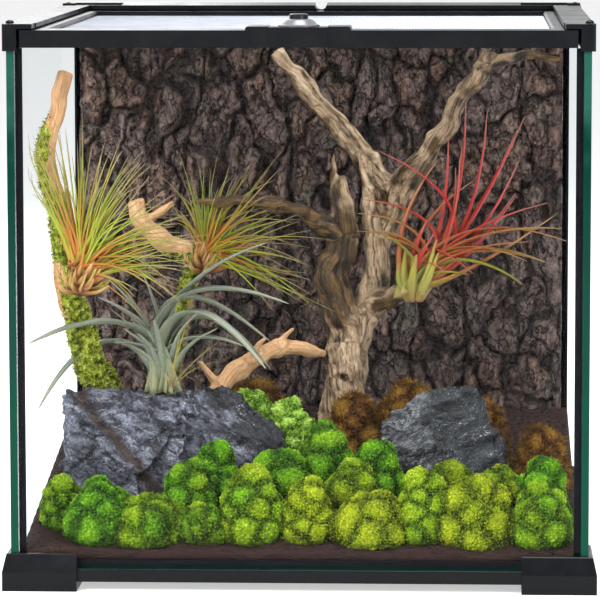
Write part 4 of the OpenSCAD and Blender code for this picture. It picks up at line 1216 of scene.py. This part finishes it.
def cushions(name, places, slot, node, seed, thing, gap, sizes, share=0.5, spread=1.4, lean=0.6,
             rough_by=0.9):
    """Cushions of moss: lobes fused into one skin, roughened and set with tufts."""
    heap = Heap()
    shape = bmesh.new()
    bmesh.ops.create_icosphere(shape, subdivisions=3, radius=1)
    ball = np.array([v.co for v in shape.verts])
    ball_faces = [[v.index for v in f.verts] for f in shape.faces]
    shape.free()
    middles, radii, hues = [], [], []
    for i, place in enumerate(places):
        x, y, radius, height, hue = place
        heads, reach = lobes_of(place, seed + i, share, spread)
        core = ball * (radius * 0.92, radius * 0.92, height * 0.92) + (x, y, 0)
        core[:, 2] = np.maximum(core[:, 2], -1.0) + rise(core[:, 1])
        heap.add(core, ball_faces)
        for middle, r in zip(heads, reach):
            heap.add(ball * r + middle, ball_faces)
        middles.append(heads)
        radii.append(reach)
        dice = np.random.default_rng(seed + i + 50)
        hues.append(hue + dice.normal(0, 0.06, len(heads)))
    middles, radii, hues = np.vstack(middles), np.concatenate(radii), np.concatenate(hues)
    piece = fuse(heap.piece(name, FINISHES[slot]), 1.5, 1)
    points, normals = points_and_normals(piece)
    first, second, which = (np.full(len(points), v) for v in (99.0, 99.0, 0.0))
    for k in range(len(middles)):
        q = np.linalg.norm(points - middles[k], axis=1) / radii[k]
        closer = q < first
        second = np.where(closer, first, np.minimum(second, q))
        which = np.where(closer, hues[k], which)
        first = np.where(closer, q, first)
    crevice = 1 - ease_in(second - first, 0.0, 0.6)
    near, after, _, _ = patches(points, 3.4, seed)
    bumps = ease_in(after - near, 0, 0.5)
    points += normals * ((bumps - 0.6) * rough_by + 0.5 * rough(points, 5, 2, seed + 3))[:, None]
    above = over_soil(points)
    points[:, 2] = np.where(above < -0.4, rise(points[:, 1]) - 0.4, points[:, 2])
    points[:, 0] = np.clip(points[:, 0], -SKIN_X, SKIN_X)
    points[:, 1] = np.maximum(points[:, 1], SKIN_Y)
    put_points(piece, points)
    # Deep in the creases between lobes, between bumps and close to the soil the moss is painted darker:
    # painted shade.
    depth = np.clip(0.8 * crevice ** 1.5 + 0.15 * (1 - bumps) + 0.6 * (1 - ease_in(above, 0, 6)), 0, 1)
    keep_values(piece.data, "depth", depth)
    keep_values(piece.data, "hue", which)
    keep_values(piece.data, "cover", ease_in(above, 0.0, 1.5))
    grow(piece, TUFTS, Thing=thing, Gap=gap * MM, Smallest=sizes[0], Largest=sizes[1], Lean=lean, Seed=seed,
         Finish=FINISHES[slot])
    tanked(piece, node, slot=slot)


# Air plants

# The middle lines of thin leaves keep within LEAF_X, and the tips of a fan don't pass TIP_X on the left
LEAF_X, TIP_X = 144.5, 142
SHEATHS, GREY_HEART_LEAVES, RED_HEART_LEAVES = 44, 16, 12


def blade(heap, line, width, tone, foot_share=0.0, thick=0.22, channel=0.45, across=3, steps=14, twist=0.0,
          foot_reach=0.1):
    """One leaf along a line of points. foot_share is how much wider its sheath is, foot_reach how far
    up it goes."""
    line = np.asarray(line, float)
    curve = smooth_line(line, 1.0)
    pick = np.linspace(0, len(curve) - 1, steps)
    curve = np.stack([np.interp(pick, np.arange(len(curve)), curve[:, k]) for k in range(3)], 1)
    t = np.linspace(0, 1, steps)
    lean = line[-1] - line[0]
    side = np.cross((0, 0, 1), lean)
    if np.linalg.norm(side) < 1:
        side = np.array([1.0, 0, 0])
    side = side / np.linalg.norm(side) + np.array([0, 0, twist])
    _, left, up = frames_along(curve, side)
    if up[steps // 2, 2] < 0:
        up = np.where(up[:, 2:] < 0, -up, up)
    half = width / 2 * ((1 - t) ** 0.75 * 0.94 + 0.06) * (1 + foot_share * np.exp(-(t / foot_reach) ** 2))
    half[-1] *= 0.4
    s = np.linspace(-1, 1, across + 1)
    bend = channel * half[:, None] * s[None] ** 2
    body = (thick * (1 - 0.7 * t))[:, None] * (1.15 - s[None] ** 2)
    over = np.stack([half[:, None] * s[None], bend], -1)
    under = np.stack([half[:, None] * s[None], bend - body], -1)[:, ::-1]
    outline = np.concatenate([over, under], 1)
    points, faces = tube(curve, left, up, outline)
    k = outline.shape[1]
    heap.add(points, faces, along=np.concatenate([np.repeat(t, k), [0, 1]]), tone=tone)


def drooping(foot, tip, lift, dice, spread):
    """A leaf's line from the foot of the plant up and over to its tip."""
    foot, tip = np.array(foot, float), np.array(tip, float)
    tip = tip + dice.normal(0, spread, 3)
    t = np.linspace(0, 1, 7)[:, None]
    return foot + (tip - foot) * (0.7 * t * (1 - t) + t * t) + np.array([0, 0, lift]) * 2 * t * (1 - t)


def spiky_plant(name, node, foot, height, tips, copies, lift, lean, seed):
    """A tuft of thin leaves over a foot of short dry sheaths that leans towards lean."""
    dice = np.random.default_rng(seed)
    leaves, sheaths = Heap(), Heap()
    foot = np.array(foot, float)
    for tip in tips:
        hue = dice.random()
        for n in range(copies):
            start = foot + (dice.normal(0, 1.8), dice.normal(0, 1.8), dice.uniform(0.1, 0.9) * height)
            far = start + (np.array(tip) - start) * (dice.uniform(0.7, 1.08) if n else 1.0)
            line = drooping(start, far, lift * dice.uniform(0.1, 1.9), dice, 7.0 if n else 1.0)
            line[:, 0] = np.clip(line[:, 0], -LEAF_X, LEAF_X)
            blade(leaves, line, dice.uniform(0.9, 1.7), np.clip(hue + dice.normal(0, 0.25), 0, 1),
                  foot_share=2.6, thick=0.45, channel=0.9, foot_reach=0.2)
    for _ in range(SHEATHS):
        turn, up = dice.uniform(0, math.tau), dice.uniform(0, 1)
        out = np.array([math.cos(turn), math.sin(turn), 0.0])
        rising = np.array(lean) * (0.4 + up) + out * 0.75
        start = foot + np.array(lean) * up * height * 0.55 - (0, 0, 2)
        reach = dice.uniform(11, 19) * (1.15 - 0.4 * up)
        end = start + rising / np.linalg.norm(rising) * reach + (0, 0, dice.uniform(-1, 4))
        middle = (start + end) / 2 + out * 3.2 - np.array(lean) * 1.5
        blade(sheaths, [start, middle, end], dice.uniform(3.5, 6.0), dice.random(), thick=0.9,
              channel=0.8, steps=9)
    tanked(leaves.piece(name, FINISHES["spiky_leaf"]), node, slot="spiky_leaf")
    tanked(sheaths.piece(name + "_foot", FINISHES["dry_sheath"]), slot="spiky_leaf")


# Each leaf: bearing in degrees from the right upwards, reach, bow, how far its tip comes to the front,
# and width. The red and green ones also have a tone.
GREY_FOOT, GREY_HEART = (-80, 118, 69), np.array([-80, 117, 70])
GREY_LEAVES = [
    (155, 75, 26, 50, 18), (185, 65, 30, 35, 16), (115, 68, 8, 5, 16), (125, 62, 12, -5, 14),
    (100, 68, 5, 0, 12), (55, 100, 22, 0, 16), (35, 85, 36, 5, 19), (25, 65, 42, 0, 18),
    (15, 60, 38, 25, 18), (10, 60, 36, -10, 15), (30, 52, 18, 10, 16), (130, 38, 12, 20, 12),
    (80, 55, 5, -15, 14),
]
RED_FOOT, RED_HEART = (57, 170, 118), np.array([57, 171, 113])
RED_LEAVES = [
    (75, 110, -10, -10, 6.5, 0.1), (68, 108, -12, -12, 6.5, 0.1), (58, 115, -6, -4, 6.5, 0.0),
    (52, 95, -8, 4, 6.5, 0.2), (45, 80, -5, 6, 6.5, 0.1), (35, 90, 10, 14, 6, 0.4),
    (20, 90, 22, 18, 6, 0.6), (25, 90, 14, 20, 6.5, 0.8), (15, 75, 16, 18, 7, 0.9),
    (30, 90, -4, 16, 7, 0.9), (120, 42, 14, 12, 6, 0.8), (125, 55, 20, 8, 6, 0.7),
    (80, 75, 12, -6, 6.5, 0.6), (105, 82, 32, -8, 6, 0.0), (62, 70, 12, -12, 6, 0.6),
    (20, 35, 20, 14, 4, 0.2), (72, 85, -8, -16, 6, 0.1), (80, 42, 3, 4, 7, 0.2), (120, 60, 26, -4, 6, 0.4),
]
GREEN_LEAVES = [
    (5, 62, 16, 16, 9, 0.3), (20, 32, 6, 10, 8, 0.8), (120, 40, 8, 6, 8, 0.2), (85, 22, 2, 4, 11, 0.5),
    (60, 26, 3, 4, 10, 0.6),
]
BROAD = dict(foot_share=1.0, thick=0.7, channel=0.5, across=5, steps=24, foot_reach=0.3)


def arching(foot, bearing, reach, bow, toward):
    """A leaf's line that leaves its foot steeply and bows over on its upper side."""
    angle = math.radians(bearing)
    along = np.array([math.cos(angle), 0, math.sin(angle)])
    upper = np.array([-math.sin(angle), 0, math.cos(angle)]) * (1 if bearing < 90 else -1)
    t = np.linspace(0, 1, 7)[:, None]
    early = t ** 0.8
    return (np.array(foot, float) + along * reach * t + upper * bow * 4 * early * (1 - early)
            - np.array([0, toward, 0]) * t ** 1.5)


def fan(foot, reaches, count, near, far):
    """Leaf tips at even bearings. reaches gives a bearing and a reach wherever the reach changes. Tips
    come to the front by far and by near in turn."""
    bearings, lengths = zip(*reaches)
    tips = []
    for n, bearing in enumerate(np.linspace(bearings[0], bearings[-1], count)):
        reach = np.interp(bearing, bearings, lengths)
        x = foot[0] + reach * math.cos(math.radians(bearing))
        z = foot[2] + reach * math.sin(math.radians(bearing))
        tips.append((max(x, -TIP_X), foot[1] - (near if n % 2 else far), z))
    return tips


def grey_plant():
    dice = np.random.default_rng(31)
    heap = Heap()
    for bearing, reach, bow, toward, width in GREY_LEAVES:
        blade(heap, arching(GREY_FOOT, bearing, reach, bow, toward), width, dice.random(), foot_share=0.4,
              thick=0.8, channel=0.4, across=6, steps=26, twist=dice.uniform(-0.2, 0.2))
    for _ in range(GREY_HEART_LEAVES):
        turn = dice.uniform(0, math.tau)
        out = np.array([math.cos(turn), math.sin(turn) * 0.8, 0])
        start = GREY_HEART + out * 2
        tall = dice.uniform(26, 48)
        end = start + out * dice.uniform(14, 34) + (0, 0, tall)
        middle = (start + end) / 2 + (0, 0, tall * 0.16) - out * 2
        blade(heap, [start, middle, end], dice.uniform(6, 9.5), dice.random(), foot_share=0.5, thick=0.6,
              channel=0.5, across=6, steps=16)
    tanked(heap.piece("grey_air_plant", FINISHES["grey_leaf"]), "plant_grey", slot="grey_leaf")
    dry = Heap()
    for start, end, droop in (((-75, 110, 72), (-62, 100, 110), 6), ((-74, 108, 72), (-48, 98, 99), 5),
                              ((-73, 112, 72), (-44, 104, 88), 8), ((-76, 106, 73), (-67, 96, 104), -3)):
        blade(dry, drooping(start, end, droop, dice, 1.5), 1.3, 0.9, thick=0.3, channel=0.6)
    tanked(dry.piece("dry_leaves", FINISHES["green_leaf"]), slot="grey_leaf")


def red_plant():
    dice = np.random.default_rng(47)
    heap = Heap()
    for bearing, reach, bow, toward, width, tone in RED_LEAVES:
        line = arching(RED_FOOT, bearing, reach, bow, toward)
        blade(heap, line, width, tone, **BROAD)
        share = np.linspace(0, 1, len(line))[:, None]
        moved = line[0] + (line - line[0]) * dice.uniform(0.6, 0.95) + dice.normal(0, 8, 3) * share
        blade(heap, moved, width * 0.75, tone + dice.uniform(-0.3, 0.4), foot_share=1.0, thick=0.5,
              channel=0.55, across=4, steps=20, foot_reach=0.2)
    tanked(heap.piece("red_air_plant", FINISHES["red_leaf"]), "plant_red", slot="red_leaf")
    heap = Heap()
    for bearing, reach, bow, toward, width, tone in GREEN_LEAVES:
        blade(heap, arching(RED_FOOT, bearing, reach, bow, toward), width, tone, **BROAD)
    for _ in range(RED_HEART_LEAVES):
        turn = dice.uniform(0, math.tau)
        out = np.array([math.cos(turn), math.sin(turn), 0])
        start = RED_HEART + out * 4
        end = start + out * dice.uniform(6, 12) + (6, 0, dice.uniform(20, 36))
        middle = (start + end) / 2 + out * 2.4
        blade(heap, [start, middle, end], dice.uniform(6, 8.5), dice.random(), foot_share=-0.45, thick=1.0,
              channel=0.7, across=5, steps=14, foot_reach=0.2)
    tanked(heap.piece("green_foot_leaves", FINISHES["green_leaf"]), slot="red_leaf")


LEFT_FOOT, BACK_FOOT = (-121, 76, 128), (-62, 184, 128)
LEFT_TIPS = fan(LEFT_FOOT, [(0, 48), (15, 68), (30, 70), (60, 76), (90, 90), (105, 92), (115, 74)],
                17, 16, 30)
BACK_TIPS = fan(BACK_FOOT, [(-15, 68), (0, 58), (30, 60), (60, 68), (80, 62), (100, 52), (120, 38)],
                13, 6, 24)


bark()
soil()
# The last argument of each rock marks its right-hand part, which is painted darker as shade.
rock("blue_rock", "rock_left", "slate", 3, (0.5, 0.1, 0.86), ((-124, 74), (33, -37), 4.2),
     lambda p: ease_in(p[:, 0] + rough(p, 12, 3, 77) * 12 + (p[:, 2] - 60) * 0.8, -62, -40) * 0.8)
rock("dark_rock", "rock_right", "dark_slate", 8, (-0.5, 0.2, 0.85), ((66, 66), (10, -40), 0.7),
     lambda p: ease_in(p[:, 0] + rough(p, 12, 3, 79) * 8, 62, 72))
wood("driftwood", TREE, "driftwood", "driftwood_tree", 0.85, 5, carve=0.9)
left = wood("left_branch", LEFT_BRANCH, "tan_wood", "branch_left", 0.9, 15, 0.5, 0.15)
middle = wood("back_branch", BACK_BRANCH, "tan_wood", "branch_back", 0.9, 25, 0.5, 0.15)
wood("low_branch", LOW_BRANCH, "tan_wood", "branch_low", 0.9, 35, 0.55, 0.25)
branch_moss(left, "left_branch_moss",
            lambda p, n: 0.85 + ease_in(-p[:, 2], -118, -100) - 2.8 * ease_in(p[:, 2], 210, 232)
            + n[:, 0] * (1.1 - 2.2 * ease_in(p[:, 2], 136, 160)), 61)
branch_moss(middle, "back_branch_moss",
            lambda p, n: np.where(p[:, 2] < 138, (-n[:, 0] * 0.5 - n[:, 1] * 0.9) + 0.4, -1), 71)
for title, node, row, cuts, seed in (("front_moss_", "moss_front", FRONT_ROW, (0, 3, 6, 9), 101),
                                     ("middle_moss_", "moss_middle", MIDDLE_ROW, (0, 3, 7, 10), 131)):
    for number in range(3):
        cushions(f"{title}{number + 1}", row[cuts[number]:cuts[number + 1]], "green_moss", node,
                 seed + 10 * number, BLOB, 1.25, (0.45, 1.0))
cushions("light_moss_patch", LIGHT_PATCH, "light_moss", "moss_light", 161, BLOB, 1.2, (0.5, 1.0), 0.3, 1.5,
         rough_by=1.3)
cushions("brown_moss_tufts", BROWN_TUFTS, "brown_moss", "moss_brown", 171, SPIKE, 0.88, (0.45, 1.0),
         0.4, 1.3, lean=0.85)
spiky_plant("left_air_plant", "plant_left", LEFT_FOOT, 18, LEFT_TIPS, 7, 14, (0.5, -0.1, 0.85), 201)
spiky_plant("back_air_plant", "plant_back", BACK_FOOT, 14, BACK_TIPS, 7, 11, (0.35, -0.1, 0.9), 211)
grey_plant()
red_plant()
for thing in (BLOB, SPIKE, LEAFLET, CHIP):
    bpy.data.objects.remove(thing)
